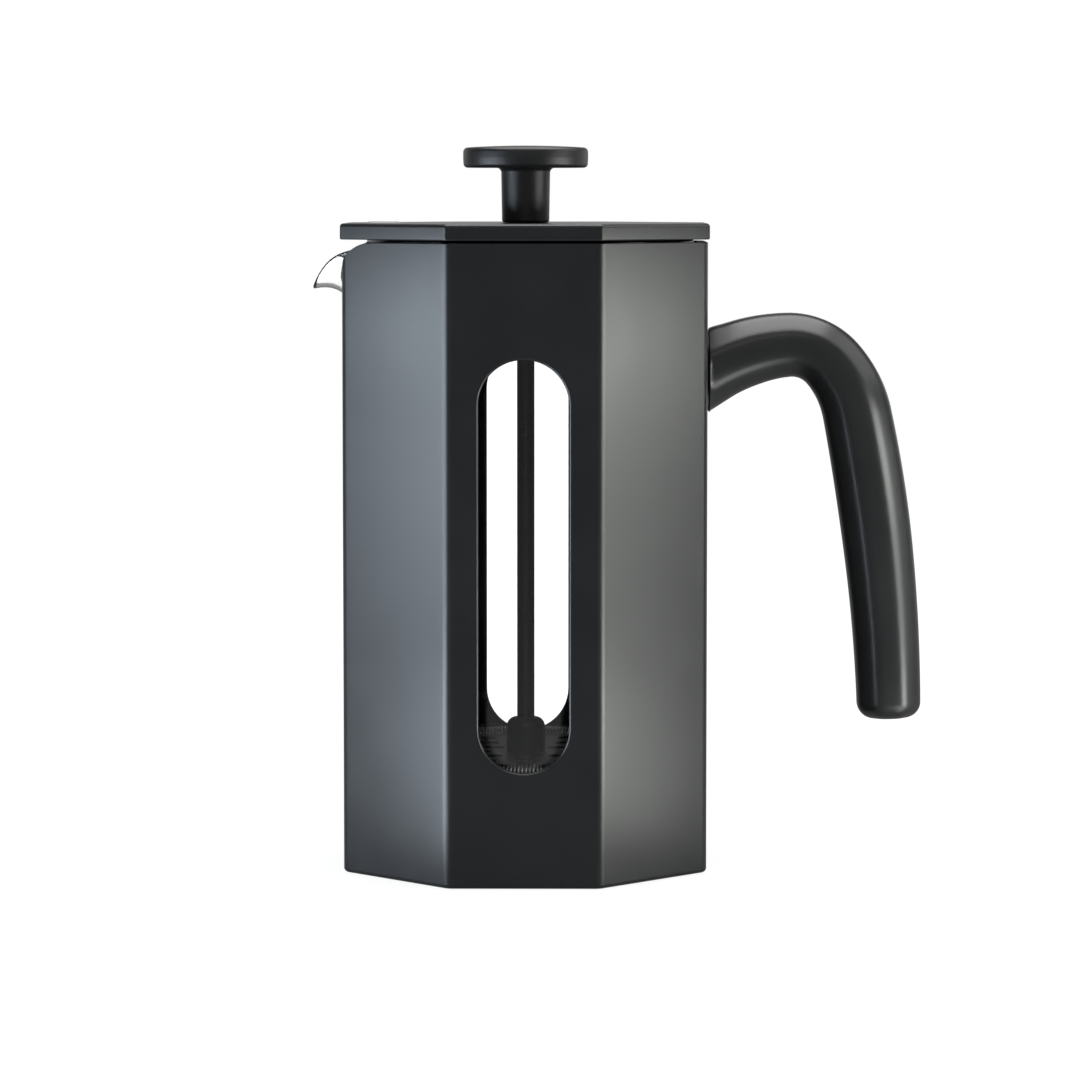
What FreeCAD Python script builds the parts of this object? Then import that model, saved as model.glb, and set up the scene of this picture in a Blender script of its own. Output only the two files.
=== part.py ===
"""French press: a glass beaker in an octagonal moulded sleeve with a loop handle, a lid with a
strainer collar, and a plunger that carries the filter.

Millimetres. +Z is up, the origin is under the middle of the beaker on the surface that the press
stands on, the handle points along +X and the spout along -X.
"""
import FreeCAD, Part
import math
import os

import Sketcher

HALF_EIGHTH = 22.5
# Two lengths this near are the same: drawn at one place, and worked out by different ways.
EXACT = 1e-4
NEAR = 0.01

SIZES = [
    # the sleeve that holds the glass
    ("sleeve_flats", 103.0, "width of the octagonal sleeve from flat to flat"),
    ("sleeve_wall", 2.0, "wall of the sleeve"),
    ("sleeve_low", 0.2, "bottom edge of the sleeve"),
    ("sleeve_top", 178.9, "top edge of the sleeve"),
    ("sleeve_bend", 4.0, "radius of the sleeve's eight outer bends"),
    ("sleeve_inner_bend", 1.2, "radius of the same bends inside"),
    ("sleeve_foot_round", 1.2, "rounding of the sleeve's bottom edge"),
    ("sleeve_rim_round", 0.3, "rounding of the sleeve's top edge, the dip included"),
    ("window_width", 25.0, "clear width of the front and back windows"),
    ("window_low", 32.5, "lowest point of a window"),
    ("window_high", 146.9, "highest point of a window"),
    ("window_round", 0.8, "rounding of a window's outer edge"),
    ("dip_depth", 20.8, "depth of the dip under the spout"),
    ("dip_half_width", 30.0, "half of the dip's width at the top edge"),
    ("dip_slope", 58.0, "steepest slope of the dip's sides, in degrees"),
    ("dip_radius", 20.7, "radius of the bottom of the dip"),
    ("snap_low", 8.0, "bottom of the snap groove inside the sleeve"),
    ("snap_tall", 1.2, "height of the snap groove"),
    ("snap_depth", 0.4, "depth of the snap groove"),
    # the base
    ("base_low", 0.4, "underside of the base"),
    ("base_floor", 3.8, "top of the base's floor"),
    ("base_top", 11.0, "top of the base's upright rim"),
    ("base_rim", 1.2, "thickness of the base's upright rim"),
    ("base_gap", 0.1, "gap between the base and the sleeve"),
    ("foot_radius", 44.0, "radius of the non-slip foot pad"),
    ("foot_tall", 1.6, "thickness of the foot pad"),
    ("foot_chamfer", 0.4, "chamfer of the foot pad's lower edge"),
    ("cushion_radius", 36.0, "radius of the cushion under the glass"),
    ("cushion_round", 0.6, "rounding of that cushion's upper edge"),
    ("spacer_low", 148.9, "underside of the upper spacer ring"),
    ("spacer_tall", 3.5, "height of the upper spacer ring"),
    ("spacer_radius", 48.3, "inner radius of the upper spacer ring"),
    # the glass beaker
    ("glass_radius", 48.0, "outer radius of the beaker"),
    ("glass_wall", 1.8, "wall of the beaker"),
    ("glass_low", 6.0, "underside of the beaker"),
    ("glass_floor", 2.5, "thickness of the beaker's floor"),
    ("glass_heel", 8.0, "outer radius of the beaker's bottom corner"),
    ("glass_rim", 179.75, "top of the beaker's rim"),
    ("spout_start", 150.0, "height at which the spout leaves the beaker's wall"),
    ("spout_half_angle", 42.0, "half of the angle that the spout takes up, in degrees"),
    ("spout_reach", 60.7, "distance of the spout's tip from the axis"),
    ("spout_tip", 165.3, "height of the spout's tip"),
    ("spout_edge", 0.9, "thickness of the glass at the spout's tip"),
    ("spout_throat", 2.0, "drop from the tip to where the spout's curve leans outwards"),
    ("spout_crest_out", 5.2, "distance of the spout's crest outside the plain wall"),
    ("spout_crest_up", 1.6, "height of the spout's crest over its tip"),
    # the handle
    ("handle_root_x", 52.1, "face of the handle that meets its pad"),
    ("handle_root_z", 142.0, "middle of the handle's root"),
    ("handle_root_tall", 23.8, "height of the handle's root"),
    ("handle_root_wide", 25.0, "width of the handle's root"),
    ("handle_heading", 32.3, "upward slope of the handle where it leaves the sleeve, in degrees"),
    ("handle_end_round", 4.6, "rounding of the handle's free end"),
    ("pad_thick", 0.55, "thickness of the pad between sleeve and handle"),
    ("pad_wide", 21.0, "width of that pad"),
    ("pad_tall", 21.4, "height of that pad"),
    ("pad_round", 5.0, "corner radius of that pad"),
    ("screw_radius", 1.75, "radius of a handle screw's shank"),
    ("screw_head", 3.4, "radius of a handle screw's countersunk head"),
    ("screw_length", 10.6, "length of a handle screw"),
    ("screw_pitch", 9.2, "distance between the two handle screws"),
    ("screw_low", 141.2, "height of the lower handle screw"),
    ("insert_radius", 2.6, "outer radius of a threaded insert"),
    ("insert_length", 8.0, "length of a threaded insert in the handle"),
    ("insert_hole", 9.0, "depth of the hole for a threaded insert"),
    ("fit_gap", 0.05, "radial gap of a close fit"),
    # the lid
    ("lid_flats", 104.0, "width of the lid from flat to flat"),
    ("lid_low", 179.6, "underside of the lid"),
    ("lid_top", 184.15, "top of the lid"),
    ("lid_bend", 1.5, "radius of the lid's eight upright edges"),
    ("lid_round", 1.0, "rounding of the lid's top edge"),
    ("lid_under_round", 0.5, "rounding of the lid's lower edge"),
    ("lid_hole", 2.8, "radius of the lid's hole for the rod"),
    ("web_low", 179.8, "underside of the strainer collar's web, just over the glass"),
    ("web_top", 181.95, "top of the strainer collar's web"),
    ("web_radius", 49.7, "radius of the strainer collar's web"),
    ("collar_low", 166.0, "bottom edge of the strainer collar"),
    ("collar_radius", 45.3, "outer radius of the strainer collar"),
    ("collar_wall", 1.9, "wall of the strainer collar"),
    ("slot_low", 168.2, "bottom of the strainer slots"),
    ("slot_tall", 7.4, "height of the strainer slots"),
    ("slot_wide", 2.6, "width of a strainer slot"),
    ("slot_pitch", 5.4, "distance between strainer slots"),
    ("slot_start", 17.0, "distance from the axis at which the cut for the slots starts"),
    ("seal_low", 176.7, "bottom of the lid's seal ring"),
    ("seal_tall", 2.0, "height of the lid's seal ring"),
    ("seal_radius", 45.85, "outer radius of the lid's seal ring"),
    ("seal_depth", 1.0, "depth of the seal's groove"),
    ("seal_round", 0.5, "rounding of the seal's outer edges"),
    ("mark_near", 35.8, "distance of the pour mark's inner end from the axis"),
    ("mark_far", 45.5, "distance of the pour mark's outer end from the axis"),
    ("mark_wide", 5.0, "width of the pour mark"),
    ("mark_tall", 0.45, "height of the pour mark"),
    ("mark_corner", 2.2, "corner radius of the pour mark"),
    ("mark_round", 0.35, "rounding of the pour mark's upper edge"),
    # the guide bush of the rod
    ("bush_radius", 4.5, "outer radius of the rod's guide bush"),
    ("bush_flange", 6.2, "radius of the bush's flange"),
    ("bush_flange_thick", 0.9, "thickness of the bush's flange"),
    ("bush_low", 173.2, "bottom of the bush"),
    ("bush_gap", 0.1, "gap round the bush"),
    ("boss_radius", 7.0, "outer radius of the collar's boss round the bush"),
    ("boss_low", 172.6, "bottom of that boss"),
    # the plunger
    ("rod_radius", 2.5, "radius of the plunger rod"),
    ("rod_low", 23.4, "bottom end of the rod"),
    ("rod_top", 196.5, "top end of the rod, inside the knob"),
    ("rod_chamfer", 0.4, "chamfer of the rod's ends"),
    ("rod_end_gap", 1.0, "space over the rod's top end"),
    ("knob_low", 184.2, "underside of the knob's stem"),
    ("stem_low_radius", 6.75, "radius of the knob's stem at the lid"),
    ("stem_high_radius", 7.0, "radius of the knob's stem under the disc"),
    ("disc_radius", 17.85, "radius of the knob's disc"),
    ("disc_low", 199.8, "underside of the knob's disc"),
    ("disc_rim", 205.5, "height of the disc's upper edge"),
    ("disc_crown", 206.1, "top of the knob"),
    ("disc_round", 1.2, "rounding of the disc's edges"),
    ("stem_neck_round", 1.4, "rounding between the stem and the disc"),
    ("stem_foot_round", 0.8, "rounding of the stem's lower edge"),
    ("insert_low", 187.0, "bottom of the knob's brass insert"),
    ("knob_insert_radius", 4.0, "radius of the knob's brass insert"),
    ("hub_radius", 5.5, "radius of the hub above the filter"),
    ("hub_top", 42.3, "top of the hub"),
    ("hub_round", 2.7, "rounding of the hub's shoulder"),
    ("spring_plate_low", 31.5, "underside of the spring plate"),
    ("spring_plate_thick", 0.6, "thickness of the spring plate"),
    ("spring_plate_radius", 40.5, "radius of the spring plate"),
    ("coil_height", 31.8, "height of the coil spring's centre line"),
    ("coil_radius", 2.5, "outer radius of the coil spring's windings"),
    ("coil_ring", 43.1, "radius of the circle that the coil spring follows"),
    ("mesh_low", 28.9, "underside of the filter mesh"),
    ("mesh_thick", 0.3, "thickness of the filter mesh"),
    ("mesh_radius", 45.0, "radius of the filter mesh"),
    ("cross_thick", 0.8, "thickness of the cross plate under the mesh"),
    ("cross_radius", 39.0, "radius of the cross plate"),
    ("nut_tall", 4.0, "height of the rod's nut"),
    ("nut_flats", 8.0, "width of the rod's nut across its flats"),
]

# The handle's centre line is four tangent arcs that all turn downwards: radius and turn in degrees.
HANDLE_ARCS = [(48.0, 28.8), (16.0, 53.0), (32.0, 29.0), (478.0, 9.98)]
# Along it: share of the length, depth of the grip in the handle's plane, width across it.
HANDLE_GIRTH = [
    (0.00, 23.8, 25.0),
    (0.05, 20.5, 22.6),
    (0.10, 19.4, 21.0),
    (0.20, 18.2, 19.4),
    (0.30, 18.7, 19.1),
    (0.40, 19.6, 19.5),
    (0.60, 20.0, 20.0),
    (0.80, 19.2, 19.6),
    (1.00, 18.3, 19.0),
]
# Over this first share of its length the handle's section turns from upright to square with it.
HANDLE_ROOT_SHARE = 0.10
HANDLE_SECTIONS = 37
HANDLE_END_SECTIONS = 7
# The grip's section is an octagon; the higher this exponent, the sharper its edges.
EDGE_SHARPNESS = 14
SECTION_POINTS = 32
SPOUT_SECTIONS = 29
# The spout leans out with this power of its cosine. The rim falls towards it in two parts: a share
# that falls gently over the whole angle, and the rest, which falls close to the tip.
SPOUT_FLARE = 4.8
GENTLE_SHARE = 0.36
GENTLE_FALL = 2
STEEP_FALL = 20
STRAINER_SLOTS = 7
# Rings of holes in the filter's plates: radius of a hole, radius of the ring, number of holes.
SPRING_PLATE_HOLES = [("3.0", "13.0", 8), ("3.5", "23.0", 12), ("4.0", "33.5", 16)]
CROSS_PLATE_HOLES = [("3.2", "11.5", 8), ("7.5", "27.5", 8)]

doc = FreeCAD.newDocument("french_press")
sheet = doc.addObject("Spreadsheet::Sheet", "Sizes")
for row, (alias, value, meaning) in enumerate(SIZES, start=1):
    sheet.set(f"A{row}", meaning)
    sheet.set(f"B{row}", str(value))
    sheet.setAlias(f"B{row}", alias)
doc.recompute()

nodes = []
ALIASES = {alias for alias, value, meaning in SIZES}


def size(expression):
    """The value of an expression written in terms of the sheet's aliases."""
    value = sheet.evalExpression(bound(expression))
    return float(getattr(value, "Value", value))


def bound(expression):
    """The same expression with every alias looked up in the sheet."""
    words = []
    word = ""
    for letter in str(expression) + " ":
        if letter.isalnum() or letter == "_":
            word += letter
            continue
        words.append(f"Sizes.{word}" if word in ALIASES else word)
        words.append(letter)
        word = ""
    return "".join(words).strip()


def node(thing, label):
    """Marks a document object as a finished piece under the name of its file."""
    thing.Label = label
    nodes.append(thing)
    return thing


# ---- sketches -------------------------------------------------------------------------------


def new_body(label):
    body = doc.addObject("PartDesign::Body", label + "_body")
    return node(body, label)


def sketch_on(body, plane, lift="0"):
    """A sketch on one of the body's own origin planes, lifted along the plane's normal."""
    role = plane + "_Plane"
    support = next(f for f in body.Origin.OriginFeatures if f.Role == role)
    sketch = body.newObject("Sketcher::SketchObject", body.Label + "_sketch")
    sketch.AttachmentSupport = [(support, "")]
    sketch.MapMode = "FlatFace"
    sketch.setExpression("AttachmentOffset.Base.z", bound(lift))
    return sketch


def bind(sketch, kind, *items):
    """Adds a constraint whose last item is an expression, and ties it to the sheet."""
    *fixed, expression = items
    number = sketch.addConstraint(Sketcher.Constraint(kind, *fixed, size(expression)))
    sketch.setExpression(f"Constraints[{number}]", bound(expression))


def place(sketch, item, corner, across, up):
    """Puts a point of the sketch at a position measured from the sketch's origin."""
    for kind, axis, expression in (("DistanceX", -2, across), ("DistanceY", -1, up)):
        if abs(size(expression)) < 1e-9:
            sketch.addConstraint(Sketcher.Constraint("PointOnObject", item, corner, axis))
        else:
            bind(sketch, kind, -1, 1, item, corner, expression)


def vector(across, up):
    return FreeCAD.Vector(size(across), size(up), 0)


def circle(sketch, radius, across="0", up="0"):
    shape = Part.Circle(vector(across, up), FreeCAD.Vector(0, 0, 1), size(radius))
    item = sketch.addGeometry(shape, False)
    bind(sketch, "Radius", item, radius)
    place(sketch, item, 3, across, up)


def polygon(sketch, flats, sides=8):
    """A regular polygon round the origin, with a flat side facing along each axis."""
    reach = size(flats) / 2 / math.cos(math.pi / sides)
    corners = []
    for number in range(sides):
        angle = 2 * math.pi * (number + 0.5) / sides
        corners.append(FreeCAD.Vector(reach * math.cos(angle), reach * math.sin(angle), 0))
    guide = Part.Circle(FreeCAD.Vector(0, 0, 0), FreeCAD.Vector(0, 0, 1), reach)
    ring = sketch.addGeometry(guide, True)
    sketch.addConstraint(Sketcher.Constraint("Coincident", ring, 3, -1, 1))
    lines = []
    for number in range(sides):
        line = Part.LineSegment(corners[number - 1], corners[number])
        lines.append(sketch.addGeometry(line, False))
    for number, line in enumerate(lines):
        sketch.addConstraint(Sketcher.Constraint("Coincident", lines[number - 1], 2, line, 1))
        sketch.addConstraint(Sketcher.Constraint("PointOnObject", line, 1, ring))
        if number:
            sketch.addConstraint(Sketcher.Constraint("Equal", lines[0], line))
    sketch.addConstraint(Sketcher.Constraint("Vertical", lines[0]))
    bind(sketch, "Radius", ring, f"({flats}) / 2 / cos({180 / sides} deg)")


def outline(sketch, points, dome=False):
    """A closed outline through points given as pairs of expressions.

    Its sides are straight, or the closing one is a dome: an arc centred on the upright axis.
    """
    lines = []
    for number, (across, up) in enumerate(points):
        following = points[(number + 1) % len(points)]
        line = Part.LineSegment(vector(across, up), vector(*following))
        if dome and number == len(points) - 1:
            line = dome_arc(line.StartPoint, line.EndPoint)
        lines.append(sketch.addGeometry(line, False))
    if dome:
        sketch.addConstraint(Sketcher.Constraint("PointOnObject", lines[-1], 3, -2))
    for number, line in enumerate(lines):
        sketch.addConstraint(Sketcher.Constraint("Coincident", lines[number - 1], 2, line, 1))
        place(sketch, line, 1, *points[number])


def dome_arc(rim, crown):
    """The arc from a point of the rim to the crown on the axis."""
    radius = (rim.x ** 2 + (crown.y - rim.y) ** 2) / 2 / (crown.y - rim.y)
    centre = FreeCAD.Vector(0, crown.y - radius, 0)
    around = Part.Circle(centre, FreeCAD.Vector(0, 0, 1), radius)
    return Part.ArcOfCircle(around, math.acos(rim.x / radius), math.pi / 2)


def slot(sketch, width, low, high):
    """An upright slot with round ends, its highest and lowest points at the heights given."""
    half = size(width) / 2
    bottom = size(low) + half
    top = size(high) - half
    up = FreeCAD.Vector(0, 0, 1)
    low_circle = Part.Circle(FreeCAD.Vector(0, bottom, 0), up, half)
    high_circle = Part.Circle(FreeCAD.Vector(0, top, 0), up, half)
    arc_low = Part.ArcOfCircle(low_circle, math.pi, 2 * math.pi)
    arc_high = Part.ArcOfCircle(high_circle, 0, math.pi)
    right = Part.LineSegment(FreeCAD.Vector(half, bottom, 0), FreeCAD.Vector(half, top, 0))
    left = Part.LineSegment(FreeCAD.Vector(-half, top, 0), FreeCAD.Vector(-half, bottom, 0))
    items = [sketch.addGeometry(part, False) for part in (arc_low, right, arc_high, left)]
    for number, item in enumerate(items):
        sketch.addConstraint(Sketcher.Constraint("Tangent", items[number - 1], 2, item, 1))
    place(sketch, items[0], 3, "0", f"{low} + {width} / 2")
    place(sketch, items[2], 3, "0", f"{high} - {width} / 2")
    bind(sketch, "Radius", items[0], f"{width} / 2")


# ---- features -------------------------------------------------------------------------------


def pad(body, sketch, length):
    feature = body.newObject("PartDesign::Pad", body.Label + "_pad")
    feature.Profile = sketch
    feature.setExpression("Length", bound(length))
    doc.recompute()


def pocket(body, sketch, length, reverse=False, both_ways=False):
    """Cuts the sketch out of the body, and makes sure that something was cut."""
    before = body.Shape.Volume
    feature = body.newObject("PartDesign::Pocket", body.Label + "_pocket")
    feature.Profile = sketch
    feature.Reversed = reverse
    feature.Midplane = both_ways
    feature.setExpression("Length", bound(length))
    doc.recompute()
    require(body.Shape.Volume < before - NEAR, f"{body.Label}: a pocket cut nothing")


def turn(body, sketch, kind="Revolution", axis="V_Axis"):
    """Turns the sketch all the way round: a Revolution adds, a Groove cuts."""
    before = body.Shape.Volume if kind == "Groove" else 0.0
    feature = body.newObject("PartDesign::" + kind, body.Label + "_turned")
    feature.Profile = sketch
    feature.ReferenceAxis = (sketch, [axis])
    feature.Angle = 360
    doc.recompute()
    if kind == "Groove":
        require(body.Shape.Volume < before - NEAR, f"{body.Label}: a groove cut nothing")


def edges(shape, wanted):
    return [f"Edge{number}" for number, edge in enumerate(shape.Edges, start=1) if wanted(edge)]


def blend(body, wanted, radius, kind="Fillet"):
    """Rounds or chamfers the edges of the last feature that pass a test."""
    feature = body.Tip
    names = edges(feature.Shape, wanted)
    require(names, f"{body.Label}: no edge to blend")
    blended = body.newObject("PartDesign::" + kind, body.Label + "_" + kind.lower())
    blended.Base = (feature, names)
    blended.setExpression("Radius" if kind == "Fillet" else "Size", bound(radius))
    doc.recompute()


def repeat_round(body, count, angle="360"):
    """Repeats the last feature round the axis."""
    feature = body.Tip
    pattern = body.newObject("PartDesign::PolarPattern", body.Label + "_pattern")
    pattern.Originals = [feature]
    upright = next(f for f in body.Origin.OriginFeatures if f.Role == "Z_Axis")
    pattern.Axis = (upright, [""])
    pattern.setExpression("Angle", bound(angle))
    pattern.Occurrences = count
    body.Tip = pattern
    doc.recompute()


def repeat_along(body, role, count, length):
    """Repeats the last feature along one of the body's own axes."""
    feature = body.Tip
    pattern = body.newObject("PartDesign::LinearPattern", body.Label + "_pattern")
    pattern.Originals = [feature]
    axis = next(f for f in body.Origin.OriginFeatures if f.Role == role)
    pattern.Direction = (axis, [""])
    pattern.setExpression("Length", bound(length))
    pattern.Occurrences = count
    body.Tip = pattern
    doc.recompute()


def require(condition, message):
    if not condition:
        raise RuntimeError(message)


def level(edge, height):
    """True for an edge that lies flat at the height given."""
    box = edge.BoundBox
    return abs(box.ZMin - height) < EXACT and abs(box.ZMax - height) < EXACT


def upright(edge):
    box = edge.BoundBox
    return box.ZLength > NEAR and box.XLength < EXACT and box.YLength < EXACT


def across_the_pad(edge):
    return edge.BoundBox.XLength > NEAR


def reach(edge):
    """The greatest distance of an edge's ends and middle from the axis."""
    places = [edge.valueAt(edge.FirstParameter), edge.valueAt(edge.LastParameter)]
    places.append(edge.valueAt((edge.FirstParameter + edge.LastParameter) / 2))
    return max(math.hypot(p.x, p.y) for p in places)


def ring(label, points, dome=False):
    """A body turned from one outline of (radius, height) pairs."""
    body = new_body(label)
    sketch = sketch_on(body, "XZ")
    outline(sketch, points, dome)
    turn(body, sketch)
    return body


def disc(label, radius, low, thick, hole=None):
    body = new_body(label)
    sketch = sketch_on(body, "XY", low)
    circle(sketch, radius)
    if hole:
        circle(sketch, hole)
    pad(body, sketch, thick)
    return body


# ---- sleeve, base and their linings -------------------------------------------------------------


def dip_outline(sketch):
    """The dip under the spout: a round bottom, straight sides and round shoulders."""
    slope = math.radians(size("dip_slope"))
    deep = size("dip_depth")
    half = size("dip_half_width")
    bottom = size("dip_radius")
    top = size("sleeve_top")
    # The straight run and the shoulder radius that join the bottom arc to the level edge.
    lean = math.tan(slope / 2)
    straight = (deep - half * lean) / (math.sin(slope) - math.cos(slope) * lean)
    shoulder = (half - straight * math.cos(slope)) / math.sin(slope) - bottom
    out = FreeCAD.Vector(0, 0, 1)
    low_centre = FreeCAD.Vector(0, top - deep + bottom, 0)
    down = 1.5 * math.pi
    arcs = [Part.ArcOfCircle(Part.Circle(low_centre, out, bottom), down - slope, down + slope)]
    for side in (1, -1):
        centre = FreeCAD.Vector(side * half, top - shoulder, 0)
        start = math.pi / 2 if side == 1 else math.pi / 2 - slope
        arcs.append(Part.ArcOfCircle(Part.Circle(centre, out, shoulder), start, start + slope))
    low_arc, right_arc, left_arc = arcs
    right_line = Part.LineSegment(low_arc.EndPoint, right_arc.EndPoint)
    left_line = Part.LineSegment(left_arc.StartPoint, low_arc.StartPoint)
    roof = 2.0
    corners = [
        right_arc.StartPoint,
        right_arc.StartPoint + FreeCAD.Vector(0, roof, 0),
        left_arc.EndPoint + FreeCAD.Vector(0, roof, 0),
        left_arc.EndPoint,
    ]
    walls = [Part.LineSegment(a, b) for a, b in zip(corners, corners[1:])]
    for part in [low_arc, right_line, right_arc, *walls, left_arc, left_line]:
        item = sketch.addGeometry(part, False)
        sketch.addConstraint(Sketcher.Constraint("Block", item))


def screw_outline(sketch, extra):
    """Half of a countersunk screw and its axis, which points along +X."""
    inside = "sleeve_flats / 2 - sleeve_wall"
    low = "screw_low"
    cone = "screw_head - screw_radius"
    tip = f"{inside} + screw_length"
    shank = f"screw_radius + {extra}"
    outline(sketch, [
        (f"{inside} - {extra}", low),
        (tip, low),
        (tip, f"{low} + {shank}"),
        (f"{inside} + {cone}", f"{low} + {shank}"),
        (f"{inside} - {extra}", f"{low} + screw_head + 2 * {extra}"),
    ])
    axis = Part.LineSegment(vector(inside, low), vector(tip, low))
    item = sketch.addGeometry(axis, True)
    place(sketch, item, 1, inside, low)
    place(sketch, item, 2, tip, low)


def sleeve():
    body = new_body("sleeve")
    outside = sketch_on(body, "XY", "sleeve_low")
    polygon(outside, "sleeve_flats")
    pad(body, outside, "sleeve_top - sleeve_low")
    blend(body, upright, "sleeve_bend")
    bore = sketch_on(body, "XY", "sleeve_top")
    polygon(bore, "sleeve_flats - 2 * sleeve_wall")
    pocket(body, bore, "sleeve_top")
    inner_reach = size("sleeve_flats / 2 - sleeve_wall") / math.cos(math.radians(HALF_EIGHTH))
    blend(body, lambda e: upright(e) and abs(reach(e) - inner_reach) < NEAR, "sleeve_inner_bend")
    groove = sketch_on(body, "XY", "snap_low")
    polygon(groove, "sleeve_flats - 2 * sleeve_wall + 2 * snap_depth")
    pocket(body, groove, "snap_tall", reverse=True)
    screws = sketch_on(body, "XZ")
    screw_outline(screws, "2 * fit_gap")
    turn(body, screws, "Groove", "Axis0")
    repeat_along(body, "Z_Axis", 2, "screw_pitch")
    foot = size("sleeve_low")
    blend(body, lambda e: level(e, foot) and reach(e) > inner_reach + NEAR, "sleeve_foot_round")
    dip = sketch_on(body, "YZ")
    dip_outline(dip)
    pocket(body, dip, "sleeve_flats")
    windows = sketch_on(body, "XZ")
    slot(windows, "window_width", "window_low", "window_high")
    pocket(body, windows, "2 * sleeve_flats", both_ways=True)
    half = size("sleeve_flats / 2")
    blend(body, lambda e: on_window(e, half), "window_round")
    blend(body, on_rim, "sleeve_rim_round")


def on_rim(edge):
    """True for an edge round the top of the sleeve's outer face, along the dip too."""
    box = edge.BoundBox
    high = box.ZMin > size("sleeve_top - dip_depth") - NEAR
    half = size("sleeve_flats / 2")
    ends = [edge.valueAt(edge.FirstParameter), edge.valueAt(edge.LastParameter)]
    outside = all(abs(face_distance(place) - half) < NEAR for place in ends)
    return high and outside and not upright(edge)


def face_distance(place):
    """The greatest distance of a point from the axis, measured square to the sleeve's faces."""
    headings = [math.radians(2 * HALF_EIGHTH * number) for number in range(8)]
    return max(place.x * math.cos(heading) + place.y * math.sin(heading) for heading in headings)


def on_window(edge, depth):
    """True for an edge of a window in the outer face of the sleeve."""
    box = edge.BoundBox
    flat = box.YLength < EXACT and abs(abs(box.YMin) - depth) < EXACT
    return flat and max(abs(box.XMin), abs(box.XMax)) < size("window_width / 2") + NEAR


def base():
    body = new_body("base")
    across = "sleeve_flats - 2 * sleeve_wall - 2 * base_gap"
    plan = sketch_on(body, "XY", "base_low")
    polygon(plan, across)
    pad(body, plan, "base_top - base_low")
    bead = sketch_on(body, "XY", "snap_low + base_gap")
    polygon(bead, across + " + 2 * snap_depth")
    pad(body, bead, "snap_tall - 2 * base_gap")
    well = sketch_on(body, "XY", "base_top")
    polygon(well, across + " - 2 * base_rim")
    pocket(body, well, "base_top - base_floor")
    recess = sketch_on(body, "XY", "base_low")
    circle(recess, "foot_radius + fit_gap")
    pocket(body, recess, "foot_tall - base_low", reverse=True)


def linings():
    """The soft parts between the glass, the sleeve and the table."""
    foot = disc("foot_pad", "foot_radius", "0", "foot_tall")
    blend(foot, lambda e: level(e, 0.0), "foot_chamfer", "Chamfer")
    cushion = disc("base_cushion", "cushion_radius", "base_floor", "glass_low - base_floor")
    blend(cushion, lambda e: level(e, size("glass_low")), "cushion_round")
    body = new_body("upper_spacer")
    plan = sketch_on(body, "XY", "spacer_low")
    polygon(plan, "sleeve_flats - 2 * sleeve_wall - 2 * fit_gap")
    circle(plan, "spacer_radius")
    pad(body, plan, "spacer_tall")
    blend(body, upright, "sleeve_inner_bend")


# ---- handle ---------------------------------------------------------------------------------


def girth(depth, width):
    """The grip's section as (towards the outside, across) pairs: an octagon with soft edges."""
    points = []
    for step in range(SECTION_POINTS):
        angle = 2 * math.pi * step / SECTION_POINTS
        facing = [abs(math.cos(angle - math.pi / 4 * face)) for face in range(4)]
        radius = sum(part ** EDGE_SHARPNESS for part in facing) ** (-1 / EDGE_SHARPNESS)
        along = radius * math.cos(angle) * depth / 2
        across = radius * math.sin(angle) * width / 2
        points.append((along, across))
    return points


def section(x, z, heading, depth, width):
    """A closed wire of the grip's section, square to the centre line at one place."""
    slope = math.radians(heading)
    corners = []
    for along, across in girth(depth, width):
        place = (x - math.sin(slope) * along, across, z + math.cos(slope) * along)
        corners.append(FreeCAD.Vector(*place))
    curve = Part.BSplineCurve()
    curve.interpolate(Points=corners, PeriodicFlag=True)
    return Part.Wire([curve.toShape()])


def along_handle(share):
    """The place and heading on the centre line at a share of its length."""
    x = size("handle_root_x")
    z = size("handle_root_z")
    heading = size("handle_heading")
    left = share * sum(radius * math.radians(bend) for radius, bend in HANDLE_ARCS)
    for radius, bend in HANDLE_ARCS:
        part = min(left / radius, math.radians(bend))
        slope = math.radians(heading)
        x += radius * (math.sin(slope) - math.sin(slope - part))
        z += radius * (math.cos(slope - part) - math.cos(slope))
        heading -= math.degrees(part)
        left -= radius * part
    return x, z, heading


def handle_girth(share):
    """Depth and width of the grip, on a smooth curve through the rows of HANDLE_GIRTH."""
    last = len(HANDLE_GIRTH) - 1
    here = next(n for n in range(last) if share <= HANDLE_GIRTH[n + 1][0] + 1e-9)
    rows = [HANDLE_GIRTH[max(0, min(last, here + step))] for step in (-1, 0, 1, 2)]
    part = (share - rows[1][0]) / (rows[2][0] - rows[1][0])
    girths = []
    for column in (1, 2):
        start, end = rows[1][column], rows[2][column]
        span = rows[2][0] - rows[1][0]
        slope_in = (end - rows[0][column]) / (rows[2][0] - rows[0][0]) * span
        slope_out = (rows[3][column] - start) / (rows[3][0] - rows[1][0]) * span
        bend = 3 * (end - start) - 2 * slope_in - slope_out
        twist = 2 * (start - end) + slope_in + slope_out
        girths.append(start + part * (slope_in + part * (bend + part * twist)))
    return girths


def rounded_end():
    """The last stretch of the handle, whose edge is rounded by ever smaller sections."""
    rounding = size("handle_end_round")
    x, z, heading = along_handle(1.0)
    depth, width = handle_girth(1.0)
    slope = math.radians(heading)
    wires = []
    for step in range(HANDLE_END_SECTIONS):
        lean = math.pi / 2 * step / (HANDLE_END_SECTIONS - 1)
        ahead = rounding * math.sin(lean)
        inset = 2 * rounding * (1 - math.cos(lean))
        centre = (x + math.cos(slope) * ahead, z + math.sin(slope) * ahead, heading)
        wires.append(section(*centre, depth - inset, width - inset))
    return Part.makeLoft(wires, True, False)


def cylinder_x(radius, start, length, height):
    place = FreeCAD.Vector(start, 0, height)
    return Part.makeCylinder(radius, length, place, FreeCAD.Vector(1, 0, 0))


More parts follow.
